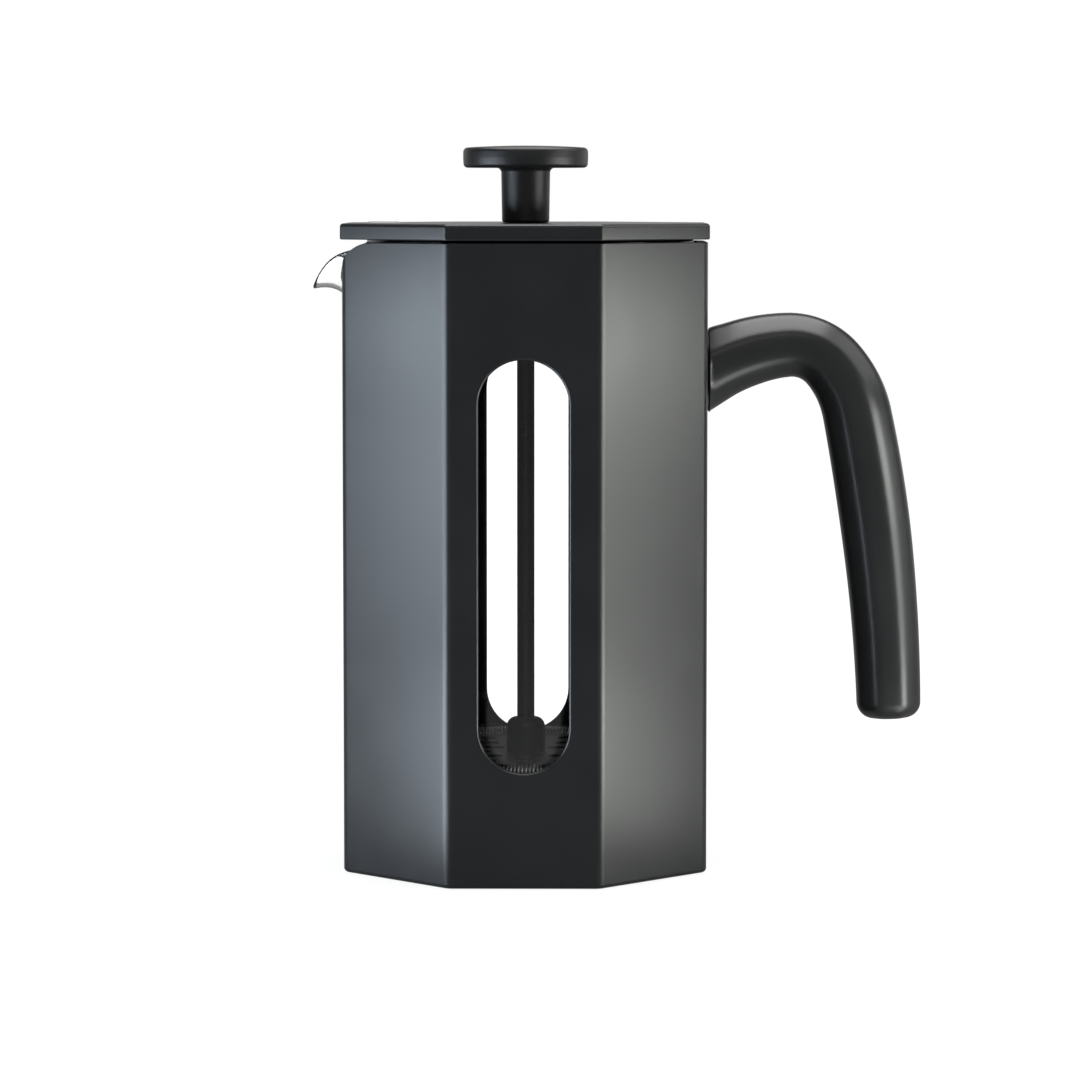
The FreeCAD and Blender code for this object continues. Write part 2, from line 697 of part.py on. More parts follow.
def handle():
    wires = []
    for number in range(HANDLE_SECTIONS):
        share = number / (HANDLE_SECTIONS - 1)
        x, z, heading = along_handle(share)
        heading *= min(share / HANDLE_ROOT_SHARE, 1.0)
        wires.append(section(x, z, heading, *handle_girth(share)))
    grip = Part.makeLoft(wires, True, False).fuse(rounded_end())
    start = size("handle_root_x")
    for number in range(2):
        height = size("screw_low") + number * size("screw_pitch")
        grip = grip.cut(cylinder_x(size("insert_radius"), start, size("insert_hole"), height))
    thing = doc.addObject("Part::Feature", "handle_solid")
    thing.Shape = grip
    node(thing, "handle")


def handle_fixings():
    body = new_body("handle_pad")
    plan = sketch_on(body, "YZ", "sleeve_flats / 2")
    low = "handle_root_z - pad_tall / 2"
    outline(plan, [
        ("-pad_wide / 2", low),
        ("pad_wide / 2", low),
        ("pad_wide / 2", low + " + pad_tall"),
        ("-pad_wide / 2", low + " + pad_tall"),
    ])
    pad(body, plan, "pad_thick")
    blend(body, across_the_pad, "pad_round")
    holes = sketch_on(body, "YZ", "sleeve_flats / 2")
    circle(holes, "screw_radius + 2 * fit_gap", "0", "screw_low")
    circle(holes, "screw_radius + 2 * fit_gap", "0", "screw_low + screw_pitch")
    pocket(body, holes, "pad_thick", reverse=True)
    body = new_body("handle_screws")
    profile = sketch_on(body, "XZ")
    screw_outline(profile, "0")
    turn(body, profile, axis="Axis0")
    repeat_along(body, "Z_Axis", 2, "screw_pitch")
    body = new_body("handle_inserts")
    plan = sketch_on(body, "YZ", "handle_root_x")
    circle(plan, "insert_radius", "0", "screw_low")
    circle(plan, "screw_radius + fit_gap", "0", "screw_low")
    pad(body, plan, "insert_length")
    repeat_along(body, "Z_Axis", 2, "screw_pitch")


# ---- glass beaker ---------------------------------------------------------------------------


def spout_wall(offset_angle):
    """The upright section of the glass at an angle from the middle of the spout."""
    nearness = math.cos(math.pi / 2 * offset_angle / size("spout_half_angle"))
    share = nearness ** SPOUT_FLARE
    drop = GENTLE_SHARE * nearness ** GENTLE_FALL + (1 - GENTLE_SHARE) * nearness ** STEEP_FALL
    radius = size("glass_radius")
    start = size("spout_start")
    rim = size("glass_rim")
    wall = size("glass_wall")
    edge = wall + (size("spout_edge") - wall) * share
    straight = (rim - start) / 3
    # Control points of the outer face at the plain wall and in the middle of the spout.
    plain = [(radius, start + number * straight) for number in range(4)]
    reach_out = size("spout_reach")
    tip = size("spout_tip")
    poured = [
        (radius, start),
        (radius, tip - size("spout_throat")),
        (radius + size("spout_crest_out"), tip + size("spout_crest_up")),
        (reach_out, tip),
    ]
    shares = [drop, drop, share, share]
    outer = []
    for number in range(4):
        out = plain[number][0] + (poured[number][0] - plain[number][0]) * shares[number]
        up = plain[number][1] + (poured[number][1] - plain[number][1]) * drop
        outer.append((out, up))
    inner = []
    for number in range(4):
        here = outer[number]
        before = outer[max(number - 1, 0)]
        after = outer[min(number + 1, 3)]
        slope = math.atan2(after[1] - before[1], after[0] - before[0])
        if number == 0:
            slope = math.pi / 2
        thick = wall + (edge - wall) * number / 3
        up = min(here[1] + math.cos(slope) * thick, rim)
        inner.append((here[0] - math.sin(slope) * thick, up))
    return outer, inner


def upright_wire(outer, inner, angle):
    """A closed wire in the upright plane at an angle round the axis."""
    turned = math.radians(angle)

    def at(point):
        return FreeCAD.Vector(point[0] * math.cos(turned), point[0] * math.sin(turned), point[1])

    faces = []
    for points in (outer, inner[::-1]):
        curve = Part.BezierCurve()
        curve.setPoles([at(point) for point in points])
        faces.append(curve.toBSpline().toShape())
    lip = Part.makeLine(at(outer[-1]), at(inner[-1]))
    foot = Part.makeLine(at(inner[0]), at(outer[0]))
    return Part.Wire([faces[0], lip, faces[1], foot])


def beaker():
    half = size("spout_half_angle")
    wires = []
    for number in range(SPOUT_SECTIONS):
        away = -half + 2 * half * number / (SPOUT_SECTIONS - 1)
        wires.append(upright_wire(*spout_wall(away), 180 + away))
    spout = Part.makeLoft(wires, True, False)
    radius = size("glass_radius")
    inner = radius - size("glass_wall")
    start = size("spout_start")
    up = FreeCAD.Vector(0, 0, 1)
    first = FreeCAD.Vector(0, 0, start)
    tall = size("glass_rim") - start
    round_rest = 360 - 2 * half
    upper = Part.makeCylinder(radius, tall, first, up, round_rest)
    upper = upper.cut(Part.makeCylinder(inner, tall, first, up))
    upper.rotate(FreeCAD.Vector(0, 0, 0), up, 180 + half)
    low = size("glass_low")
    heel = size("glass_heel")
    outside = Part.makeCylinder(radius, start - low, FreeCAD.Vector(0, 0, low))
    outside = outside.makeFillet(heel, [e for e in outside.Edges if level(e, low)])
    floor = low + size("glass_floor")
    inside = Part.makeCylinder(inner, start - floor, FreeCAD.Vector(0, 0, floor))
    inside = inside.makeFillet(heel - size("glass_wall"), [e for e in inside.Edges if level(e, floor)])
    plain = outside.cut(inside).fuse(upper)

    def against_spout(face):
        """True for the flat faces in which the spout's sector meets the rest of the wall."""
        box = face.BoundBox
        foot = box.ZLength < EXACT and abs(box.ZMin - start) < EXACT
        side = isinstance(face.Surface, Part.Plane) and abs(face.normalAt(0, 0).z) < EXACT
        return foot or side

    faces = [face for solid in (plain, spout) for face in solid.Faces if not against_spout(face)]
    skin = Part.makeCompound(faces)
    skin.sewShape(1e-3)
    thing = doc.addObject("Part::Feature", "beaker_solid")
    thing.Shape = Part.makeSolid(skin.Shells[0])
    require(thing.Shape.isClosed(), "beaker: its skin is open")
    node(thing, "beaker")


# ---- lid ------------------------------------------------------------------------------------


def lid_cover():
    body = new_body("lid_cover")
    plan = sketch_on(body, "XY", "lid_low")
    polygon(plan, "lid_flats")
    pad(body, plan, "lid_top - lid_low")
    blend(body, upright, "lid_bend")
    blend(body, lambda e: level(e, size("lid_top")), "lid_round")
    blend(body, lambda e: level(e, size("lid_low")), "lid_under_round")
    well = sketch_on(body, "XY", "lid_low")
    circle(well, "web_radius + base_gap")
    pocket(body, well, "web_top - lid_low", reverse=True)
    hole = sketch_on(body, "XY", "lid_top")
    circle(hole, "lid_hole")
    pocket(body, hole, "lid_top - web_top")


def strainer_collar():
    inner = "collar_radius - collar_wall"
    groove = "collar_radius - seal_depth"
    body = ring("strainer_collar", [
        ("bush_radius + bush_gap", "boss_low"),
        ("boss_radius", "boss_low"),
        ("boss_radius", "web_low"),
        (inner, "web_low"),
        (inner, "collar_low"),
        ("collar_radius", "collar_low"),
        ("collar_radius", "seal_low - fit_gap"),
        (groove, "seal_low - fit_gap"),
        (groove, "seal_low + seal_tall + fit_gap"),
        ("collar_radius", "seal_low + seal_tall + fit_gap"),
        ("collar_radius", "web_low"),
        ("web_radius", "web_low"),
        ("web_radius", "web_top"),
        ("bush_flange + bush_gap", "web_top"),
        ("bush_flange + bush_gap", "web_top - bush_flange_thick - 2 * bush_gap"),
        ("bush_radius + bush_gap", "web_top - bush_flange_thick - 2 * bush_gap"),
    ])
    slots = sketch_on(body, "YZ", "-slot_start")
    for number in range(STRAINER_SLOTS):
        centre = f"{number - STRAINER_SLOTS // 2} * slot_pitch"
        corners = []
        for side, up in (("-", ""), ("+", ""), ("+", " + slot_tall"), ("-", " + slot_tall")):
            corners.append((f"{centre} {side} slot_wide / 2", "slot_low" + up))
        outline(slots, corners)
    pocket(body, slots, "collar_radius")


def lid_seal():
    inner = "collar_radius - seal_depth + fit_gap"
    body = ring("lid_seal", [
        (inner, "seal_low"),
        ("seal_radius", "seal_low"),
        ("seal_radius", "seal_low + seal_tall"),
        (inner, "seal_low + seal_tall"),
    ])
    outside = size("seal_radius")
    blend(body, lambda e: reach(e) > outside - NEAR and e.BoundBox.ZLength < EXACT, "seal_round")


def pour_mark():
    body = new_body("pour_mark")
    plan = sketch_on(body, "XY", "lid_top")
    outline(plan, [
        ("-mark_far", "-mark_wide / 2"),
        ("-mark_near", "-mark_wide / 2"),
        ("-mark_near", "mark_wide / 2"),
        ("-mark_far", "mark_wide / 2"),
    ])
    pad(body, plan, "mark_tall")
    blend(body, upright, "mark_corner")
    blend(body, lambda e: level(e, size("lid_top + mark_tall")), "mark_round")


def rod_bush():
    shoulder = "web_top - bush_flange_thick - bush_gap"
    ring("rod_bush", [
        ("rod_radius + fit_gap", "bush_low"),
        ("bush_radius", "bush_low"),
        ("bush_radius", shoulder),
        ("bush_flange", shoulder),
        ("bush_flange", "web_top - bush_gap"),
        ("rod_radius + fit_gap", "web_top - bush_gap"),
    ])


# ---- plunger --------------------------------------------------------------------------------


def on_disc_rim(edge):
    """True for the upper and the lower edge of the knob's disc."""
    wide = reach(edge) > size("disc_radius") - NEAR
    return wide and (level(edge, size("disc_low")) or level(edge, size("disc_rim")))


def at_neck(edge):
    """True for the edge in which the knob's stem meets its disc."""
    return level(edge, size("disc_low")) and abs(reach(edge) - size("stem_high_radius")) < NEAR


def knob():
    body = ring("knob", [
        ("0", "disc_crown"),
        ("0", "rod_top + rod_end_gap"),
        ("knob_insert_radius", "rod_top + rod_end_gap"),
        ("knob_insert_radius", "insert_low"),
        ("rod_radius + 2 * fit_gap", "insert_low"),
        ("rod_radius + 2 * fit_gap", "knob_low"),
        ("stem_low_radius", "knob_low"),
        ("stem_high_radius", "disc_low"),
        ("disc_radius", "disc_low"),
        ("disc_radius", "disc_rim"),
    ], dome=True)
    blend(body, on_disc_rim, "disc_round")
    blend(body, at_neck, "stem_neck_round")
    low = size("knob_low")
    stem = size("stem_low_radius") - NEAR
    blend(body, lambda e: level(e, low) and reach(e) > stem, "stem_foot_round")
    ring("knob_insert", [
        ("rod_radius + fit_gap", "insert_low"),
        ("knob_insert_radius", "insert_low"),
        ("knob_insert_radius", "rod_top"),
        ("rod_radius + fit_gap", "rod_top"),
    ])


def rod():
    body = disc("rod", "rod_radius", "rod_low", "rod_top - rod_low")
    low = size("rod_low")
    top = size("rod_top")
    blend(body, lambda e: level(e, low) or level(e, top), "rod_chamfer", "Chamfer")


def hub():
    body = ring("hub", [
        ("rod_radius + fit_gap", "spring_plate_low + spring_plate_thick"),
        ("hub_radius", "spring_plate_low + spring_plate_thick"),
        ("hub_radius", "hub_top"),
        ("rod_radius + fit_gap", "hub_top"),
    ])
    top = size("hub_top")
    outside = size("hub_radius") - NEAR
    blend(body, lambda e: level(e, top) and reach(e) > outside, "hub_round")


def pierced(label, radius, low, thick, holes):
    """A round plate on the rod with rings of holes."""
    body = disc(label, radius, low, thick, "rod_radius + fit_gap")
    for hole, ring_radius, count in holes:
        sketch = sketch_on(body, "XY", f"{low} + {thick}")
        circle(sketch, hole, ring_radius)
        pocket(body, sketch, thick)
        repeat_round(body, count)


def filter_stack():
    pierced("spring_plate", "spring_plate_radius", "spring_plate_low", "spring_plate_thick",
            SPRING_PLATE_HOLES)
    body = new_body("coil_spring")
    sketch = sketch_on(body, "XZ")
    circle(sketch, "coil_radius", "coil_ring", "coil_height")
    turn(body, sketch)
    disc("filter_mesh", "mesh_radius", "mesh_low", "mesh_thick", "rod_radius + fit_gap")
    pierced("cross_plate", "cross_radius", "mesh_low - cross_thick", "cross_thick",
            CROSS_PLATE_HOLES)
    body = new_body("rod_nut")
    sketch = sketch_on(body, "XY", "mesh_low - cross_thick - nut_tall")
    polygon(sketch, "nut_flats", 6)
    circle(sketch, "rod_radius + fit_gap")
    pad(body, sketch, "nut_tall")


sleeve()
base()
linings()
handle()
handle_fixings()
beaker()
lid_cover()
strainer_collar()
lid_seal()
pour_mark()
rod_bush()
knob()
rod()
hub()
filter_stack()
doc.recompute()

for thing in doc.Objects:
    bad = [state for state in thing.State if state in ("Invalid", "Error")]
    require(not bad, f"{thing.Name}: {bad}")
os.makedirs("parts", exist_ok=True)
for thing in nodes:
    require(not thing.Shape.isNull() and thing.Shape.isValid(), f"{thing.Label}: bad shape")
    thing.Shape.exportStep(f"parts/{thing.Label}.step")
    box = thing.Shape.BoundBox
    print(f"{thing.Label:16s} {len(thing.Shape.Solids)} solids {thing.Shape.Volume / 1000:8.2f} cm3 "
          f"z {box.ZMin:.2f} to {box.ZMax:.2f}")
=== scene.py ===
"""French press: detailed meshes, materials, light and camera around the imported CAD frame.

Lengths are written in millimetres and turned into metres when a mesh is made. +Z is up, the handle
points along +X and the spout along -X. Heights and widths come from the frame's boxes.
"""

import math

import bmesh
import bpy
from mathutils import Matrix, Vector


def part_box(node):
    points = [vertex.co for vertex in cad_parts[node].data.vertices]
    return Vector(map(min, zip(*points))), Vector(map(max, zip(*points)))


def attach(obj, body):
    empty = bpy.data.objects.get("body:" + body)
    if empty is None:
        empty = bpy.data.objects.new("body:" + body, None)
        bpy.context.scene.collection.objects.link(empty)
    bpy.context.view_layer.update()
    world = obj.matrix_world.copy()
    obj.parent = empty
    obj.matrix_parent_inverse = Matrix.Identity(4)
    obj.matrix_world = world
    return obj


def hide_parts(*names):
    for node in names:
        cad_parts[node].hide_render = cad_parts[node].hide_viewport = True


MM = 0.001
# Half of the angle that one flat of an octagon takes up.
HALF_FLAT = math.radians(22.5)
# How many pieces each rounded bend of an octagon is cut in.
BEND_STEPS = 8
# The corners of a rectangle as signs, anticlockwise.
RECTANGLE = ((1, -1), (1, 1), (-1, 1), (-1, -1))
# Vertices nearer than this count as one.
WELD = 1e-5
# How much large faces outweigh small ones where their shading meets; 50 is neutral.
FLAT_WEIGHT = 80
# Softening of the sleeve's inner edges and of the rim of the lid's hole.
SMALL_EDGE = 0.3

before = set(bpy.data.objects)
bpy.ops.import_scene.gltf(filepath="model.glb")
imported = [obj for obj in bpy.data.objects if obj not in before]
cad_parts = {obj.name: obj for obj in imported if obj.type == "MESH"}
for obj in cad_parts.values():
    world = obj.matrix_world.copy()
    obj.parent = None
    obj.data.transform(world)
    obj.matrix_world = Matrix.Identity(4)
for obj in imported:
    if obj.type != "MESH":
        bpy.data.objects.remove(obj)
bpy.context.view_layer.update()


# ---- reading the frame ------------------------------------------------------------------------


def low(node):
    """The lowest corner of a piece's box, in millimetres."""
    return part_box(node)[0] / MM


def high(node):
    """The highest corner of a piece's box, in millimetres."""
    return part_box(node)[1] / MM


# ---- building meshes --------------------------------------------------------------------------


def finish_mesh(name, bm, material, body, replaced, sharp=35.0, weighted=True):
    """Turns a bmesh in millimetres into a piece that rides on a body."""
    bmesh.ops.remove_doubles(bm, verts=bm.verts, dist=WELD)
    bmesh.ops.recalc_face_normals(bm, faces=bm.faces)
    bmesh.ops.scale(bm, vec=(MM, MM, MM), verts=bm.verts)
    mesh = bpy.data.meshes.new(name)
    bm.to_mesh(mesh)
    bm.free()
    mesh.polygons.foreach_set("use_smooth", [True] * len(mesh.polygons))
    mesh.set_sharp_from_angle(angle=math.radians(sharp))
    piece = bpy.data.objects.new(name, mesh)
    bpy.context.scene.collection.objects.link(piece)
    piece.data.materials.append(material)
    if weighted:
        modifier = piece.modifiers.new("flat faces stay flat", "WEIGHTED_NORMAL")
        modifier.keep_sharp = True
        modifier.weight = FLAT_WEIGHT
    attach(piece, body)
    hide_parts(*replaced)


def arc(centre, radius, start, end, steps):
    """Points on a circle in a plane, angles in degrees, both ends included."""
    points = []
    for step in range(steps + 1):
        angle = math.radians(start + (end - start) * step / steps)
        points.append((centre[0] + radius * math.cos(angle), centre[1] + radius * math.sin(angle)))
    return points


def rounded(corners, steps, closed=True):
    """An outline whose corners, given as (x, y, radius), are replaced with arcs."""
    points = []
    count = len(corners)
    for number, (x, y, radius) in enumerate(corners):
        ends = not closed and number in (0, count - 1)
        if radius <= 0 or ends:
            points.append((x, y))
            continue
        here = Vector((x, y))
        back = (Vector(corners[number - 1][:2]) - here).normalized()
        ahead = (Vector(corners[(number + 1) % count][:2]) - here).normalized()
        half = back.angle(ahead) / 2
        reach = radius / math.tan(half)
        middle = here + (back + ahead).normalized() * radius / math.sin(half)
        start = here + back * reach - middle
        end = here + ahead * reach - middle
        turn = start.angle(end)
        for step in range(steps + 1):
            part = step / steps
            weight_a = math.sin((1 - part) * turn) / math.sin(turn)
            weight_b = math.sin(part * turn) / math.sin(turn)
            point = middle + start * weight_a + end * weight_b
            points.append((point.x, point.y))
    return points


def bridge(bm, rings, along=False, skip=None):
    """Quads between closed rings of the same number of vertices.

    With along, the last ring is joined to the first as well.
    """
    count = len(rings[0])
    pairs = list(zip(range(len(rings) - 1), range(1, len(rings))))
    if along:
        pairs.append((len(rings) - 1, 0))
    for first, second in pairs:
        for number in range(count):
            if skip and skip(first, number):
                continue
            after = (number + 1) % count
            a, b = rings[first], rings[second]
            bm.faces.new((a[number], a[after], b[after], b[number]))


def lathe(bm, profile, segments, closed):
    """Turns a profile of (radius, height) round the axis. An open profile starts and ends on it."""
    rings = []
    for radius, height in profile:
        if radius < WELD:
            rings.append([bm.verts.new((0, 0, height))])
            continue
        ring = []
        for step in range(segments):
            angle = 2 * math.pi * step / segments
            ring.append(bm.verts.new((radius * math.cos(angle), radius * math.sin(angle), height)))
        rings.append(ring)
    pairs = list(zip(rings, rings[1:]))
    if closed:
        pairs.append((rings[-1], rings[0]))
    for first, second in pairs:
        for step in range(segments):
            after = (step + 1) % segments
            if len(first) == 1:
                bm.faces.new((first[0], second[step], second[after]))
            elif len(second) == 1:
                bm.faces.new((first[step], second[0], first[after]))
            else:
                bm.faces.new((first[step], first[after], second[after], second[step]))


def turned(name, corners, material, body, replaced, segments, steps, closed=True):
    """A piece whose section, given as (radius, height, rounding), is turned round the axis."""
    bm = bmesh.new()
    lathe(bm, rounded(corners, steps, closed), segments, closed)
    finish_mesh(name, bm, material, body, replaced)


def octagon(half, bend, runs, steps=BEND_STEPS):
    """Points round an octagon with rounded bends; runs gives the pieces that each flat is cut in."""
    reach = (half - bend) * math.tan(HALF_FLAT)
    points = []
    for flat in range(8):
        facing = 2 * HALF_FLAT * flat
        out = Vector((math.cos(facing), math.sin(facing)))
        along = Vector((-out.y, out.x))
        for run in range(runs[flat] + 1):
            points.append(out * half + along * reach * (2 * run / runs[flat] - 1))
        middle = out * (half - bend) + along * reach
        for step in range(1, steps):
            angle = facing + 2 * HALF_FLAT * step / steps
            points.append(middle + Vector((math.cos(angle), math.sin(angle))) * bend)
    return points


# ---- materials --------------------------------------------------------------------------------

# Scales of a noise along x, y and z. Its lines run across the axis with the largest one.
EVEN = (1, 1, 1)
BRUSHED = (1, 14, 1)
TURNED = (1, 1, 18)


def new_material(name):
    """A material with its nodes, its links and its shader."""
    material = bpy.data.materials.new(name)
    material.use_nodes = True
    nodes = material.node_tree.nodes
    shader = nodes["Principled BSDF"]
    return material, nodes, material.node_tree.links, shader


def noise(nodes, links, scale, detail, roughness=0.5, stretch=EVEN):
    """A noise texture in object space, so many bumps per metre, scaled along each axis."""
    place = nodes.new("ShaderNodeTexCoord")
    mapping = nodes.new("ShaderNodeMapping")
    mapping.inputs["Scale"].default_value = stretch
    texture = nodes.new("ShaderNodeTexNoise")
    texture.inputs["Scale"].default_value = scale
    texture.inputs["Detail"].default_value = detail
    texture.inputs["Roughness"].default_value = roughness
    links.new(place.outputs["Object"], mapping.inputs["Vector"])
    links.new(mapping.outputs["Vector"], texture.inputs["Vector"])
    return texture.outputs["Fac"]


def ramp(nodes, links, source, low_value, high_value, start=0.3, end=0.7):
    """Turns a noise into values between two limits."""
    spread = nodes.new("ShaderNodeMapRange")
    spread.inputs["From Min"].default_value = start
    spread.inputs["From Max"].default_value = end
    spread.inputs["To Min"].default_value = low_value
    spread.inputs["To Max"].default_value = high_value
    links.new(source, spread.inputs["Value"])
    return spread.outputs["Result"]


def tinted(nodes, links, source, first, second, start=0.35, end=0.65):
    """Turns a noise into a colour between two."""
    blend = nodes.new("ShaderNodeValToRGB")
    blend.color_ramp.elements[0].position = start
    blend.color_ramp.elements[0].color = (*first, 1)
    blend.color_ramp.elements[1].position = end
    blend.color_ramp.elements[1].color = (*second, 1)
    links.new(source, blend.inputs["Fac"])
    return blend.outputs["Color"]


def bumped(nodes, links, shader, source, strength, distance):
    """Lets a noise raise the surface by up to a distance in metres."""
    bump = nodes.new("ShaderNodeBump")
    bump.inputs["Strength"].default_value = strength
    bump.inputs["Distance"].default_value = distance
    links.new(source, bump.inputs["Height"])
    links.new(bump.outputs["Normal"], shader.inputs["Normal"])


# Scales of the noises, in bumps per metre.
TINT_SCALE = 45
GLOSS_SCALE = 90
RUBBER_TINT_SCALE = 300
RUBBER_GRAIN = 2600
GLASS_WAVES = 26
WEAVE_SCALE = 640

PLASTIC_IOR = 1.49
GLASS_IOR = 1.47
# How far the gloss of plastic strays to both sides.
UNEVEN_GLOSS = 0.012
RUBBER_ROUGHNESS = (0.62, 0.8)
GLASS_ROUGHNESS = (0.0, 0.012)
WEAVE_ROUGHNESS = (0.5, 0.3)


def moulded(name, dark, light, rough, grain=5200, depth=0.000008):
    """Moulded plastic with a fine even grain and slightly uneven gloss."""
    material, nodes, links, shader = new_material(name)
    cloud = noise(nodes, links, TINT_SCALE, 3)
    links.new(tinted(nodes, links, cloud, dark, light), shader.inputs["Base Color"])
    uneven = noise(nodes, links, GLOSS_SCALE, 2)
    gloss = ramp(nodes, links, uneven, rough - UNEVEN_GLOSS, rough + UNEVEN_GLOSS)
    links.new(gloss, shader.inputs["Roughness"])
    shader.inputs["IOR"].default_value = PLASTIC_IOR
    bumped(nodes, links, shader, noise(nodes, links, grain, 2, 0.6), 0.3, depth)
    return material


def metal(name, dark, light, rough, stretch, scale=900):
    """Metal with fine drawn or brushed lines."""
    material, nodes, links, shader = new_material(name)
    shader.inputs["Metallic"].default_value = 1.0
    lines = noise(nodes, links, scale, 3, 0.6, stretch)
    links.new(tinted(nodes, links, lines, dark, light), shader.inputs["Base Color"])
    links.new(ramp(nodes, links, lines, rough - 0.07, rough + 0.09), shader.inputs["Roughness"])
    bumped(nodes, links, shader, lines, 0.25, 0.00002)
    return material


def soft_rubber(name, dark, light):
    """Matt silicone with a slight grain."""
    material, nodes, links, shader = new_material(name)
    cloud = noise(nodes, links, RUBBER_TINT_SCALE, 4)
    links.new(tinted(nodes, links, cloud, dark, light), shader.inputs["Base Color"])
    links.new(ramp(nodes, links, cloud, *RUBBER_ROUGHNESS), shader.inputs["Roughness"])
    bumped(nodes, links, shader, noise(nodes, links, RUBBER_GRAIN, 3), 0.4, 0.00003)
    return material


def clear_glass():
    """Borosilicate glass, polished, with very faint waves from drawing."""
    material, nodes, links, shader = new_material("borosilicate_glass")
    shader.inputs["Base Color"].default_value = (0.998, 1.0, 0.999, 1)
    shader.inputs["Transmission Weight"].default_value = 1.0
    shader.inputs["IOR"].default_value = GLASS_IOR
    waves = noise(nodes, links, GLASS_WAVES, 1, 0.4, (1, 1, 0.35))
    links.new(ramp(nodes, links, waves, *GLASS_ROUGHNESS), shader.inputs["Roughness"])
    bumped(nodes, links, shader, waves, 0.05, 0.0004)
    return material


def woven_steel():
    """Woven wire cloth: two crossing sets of fine wires, with painted shade where they dip between
    each other.
    """
    material, nodes, links, shader = new_material("woven_steel")
    shader.inputs["Metallic"].default_value = 1.0
    place = nodes.new("ShaderNodeTexCoord")
    heights = []
    for direction in ("X", "Y"):
        wires = nodes.new("ShaderNodeTexWave")
        wires.bands_direction = direction
        wires.inputs["Scale"].default_value = WEAVE_SCALE
        wires.inputs["Distortion"].default_value = 0.2
        links.new(place.outputs["Object"], wires.inputs["Vector"])
        heights.append(wires.outputs["Fac"])
    crossing = nodes.new("ShaderNodeMath")
    crossing.operation = "MAXIMUM"
    links.new(heights[0], crossing.inputs[0])
    links.new(heights[1], crossing.inputs[1])
    weave = crossing.outputs["Value"]
    # Painted shade: the wires are light on their tops and dark where they dip between each other.
    shade = tinted(nodes, links, weave, (0.16, 0.16, 0.155), (0.62, 0.61, 0.59), 0.2, 0.9)
    links.new(shade, shader.inputs["Base Color"])
    links.new(ramp(nodes, links, weave, *WEAVE_ROUGHNESS, 0.0, 1.0), shader.inputs["Roughness"])
    bumped(nodes, links, shader, weave, 0.6, 0.0001)
    return material


# Each look has a darker and a lighter shade and a roughness.
BLACK = moulded("black_moulded_plastic", (0.0085, 0.0088, 0.0098), (0.0115, 0.0118, 0.0128), 0.30)
GRIP = moulded("black_grip_plastic", (0.0085, 0.0088, 0.0098), (0.012, 0.0122, 0.0132), 0.32)
KNOB_SHADES = ((0.009, 0.0092, 0.0102), (0.012, 0.0122, 0.0132))
KNOB = moulded("black_knob_plastic", *KNOB_SHADES, 0.4)
HUB = moulded("black_hub_plastic", *KNOB_SHADES, 0.3, 1200, 0.000002)
GREY = moulded("grey_mark_plastic", (0.27, 0.28, 0.285), (0.32, 0.33, 0.335), 0.45)
COATED = moulded("black_coated_steel", (0.009, 0.009, 0.01), (0.012, 0.012, 0.013), 0.28, 3000)
SILICONE = soft_rubber("black_silicone", (0.014, 0.014, 0.015), (0.024, 0.024, 0.025))
DULL_STEEL = metal("dull_stainless", (0.20, 0.20, 0.198), (0.27, 0.27, 0.265), 0.42, BRUSHED)
STEEL = metal("brushed_stainless", (0.46, 0.46, 0.455), (0.62, 0.62, 0.61), 0.3, BRUSHED)
WIRE = metal("bright_spring_wire", (0.8, 0.8, 0.79), (0.93, 0.93, 0.92), 0.3, EVEN, 2500)
BRASS = metal("turned_brass", (0.6, 0.42, 0.16), (0.78, 0.58, 0.27), 0.3, TURNED)
MESH = woven_steel()
GLASS = clear_glass()


# ---- sleeve -----------------------------------------------------------------------------------

WALL = 2.0
BEND = 4.0
FOOT_ROUND = 1.2
RIM_ROUND = 0.3
WINDOW_RADIUS = 12.5
WINDOW_LOW = 32.5
WINDOW_HIGH = 146.9
WINDOW_ROUND = 0.8
DIP_DEPTH = 20.8
DIP_HALF = 30.0
DIP_SLOPE = math.radians(58)
DIP_RADIUS = 20.7
# The countersunk hole of a handle screw: radius of its head and of its shank, depth of its rim.
SCREW_HEAD = 3.5
SCREW_SHANK = 1.95
SCREW_RIM = 0.35
SCREW_GAP = 0.1
# The middle of a small edge lies this far from both its faces.
EDGE_MIDDLE = 0.1
# The sleeve's flats in order from the handle's side, anticlockwise from above.
HANDLE_FLAT = 0
BACK_FLAT = 2
FRONT_FLAT = 6
# How many upright strips each flat is cut in. The flats with a hole have two, one on each side of it,
# and those near the spout have more, so that the dip in the top edge is smooth.
STRIPS = [2, 1, 2, 26, 34, 26, 2, 1]


def dip(y):
    """How far the sleeve's top edge is cut down under the spout, across the press."""
    lean = math.tan(DIP_SLOPE / 2)
    straight = (DIP_DEPTH - DIP_HALF * lean) / (math.sin(DIP_SLOPE) - math.cos(DIP_SLOPE) * lean)
    shoulder = (DIP_HALF - straight * math.cos(DIP_SLOPE)) / math.sin(DIP_SLOPE) - DIP_RADIUS
    away = abs(y)
    bottom_end = DIP_RADIUS * math.sin(DIP_SLOPE)
    shoulder_start = DIP_HALF - shoulder * math.sin(DIP_SLOPE)
    if away < bottom_end:
        return DIP_DEPTH - DIP_RADIUS + math.sqrt(DIP_RADIUS ** 2 - away ** 2)
    if away < shoulder_start:
        start = DIP_DEPTH - DIP_RADIUS * (1 - math.cos(DIP_SLOPE))
        return start - (away - bottom_end) * math.tan(DIP_SLOPE)
    if away < DIP_HALF:
        return shoulder - math.sqrt(shoulder ** 2 - (DIP_HALF - away) ** 2)
    return 0.0


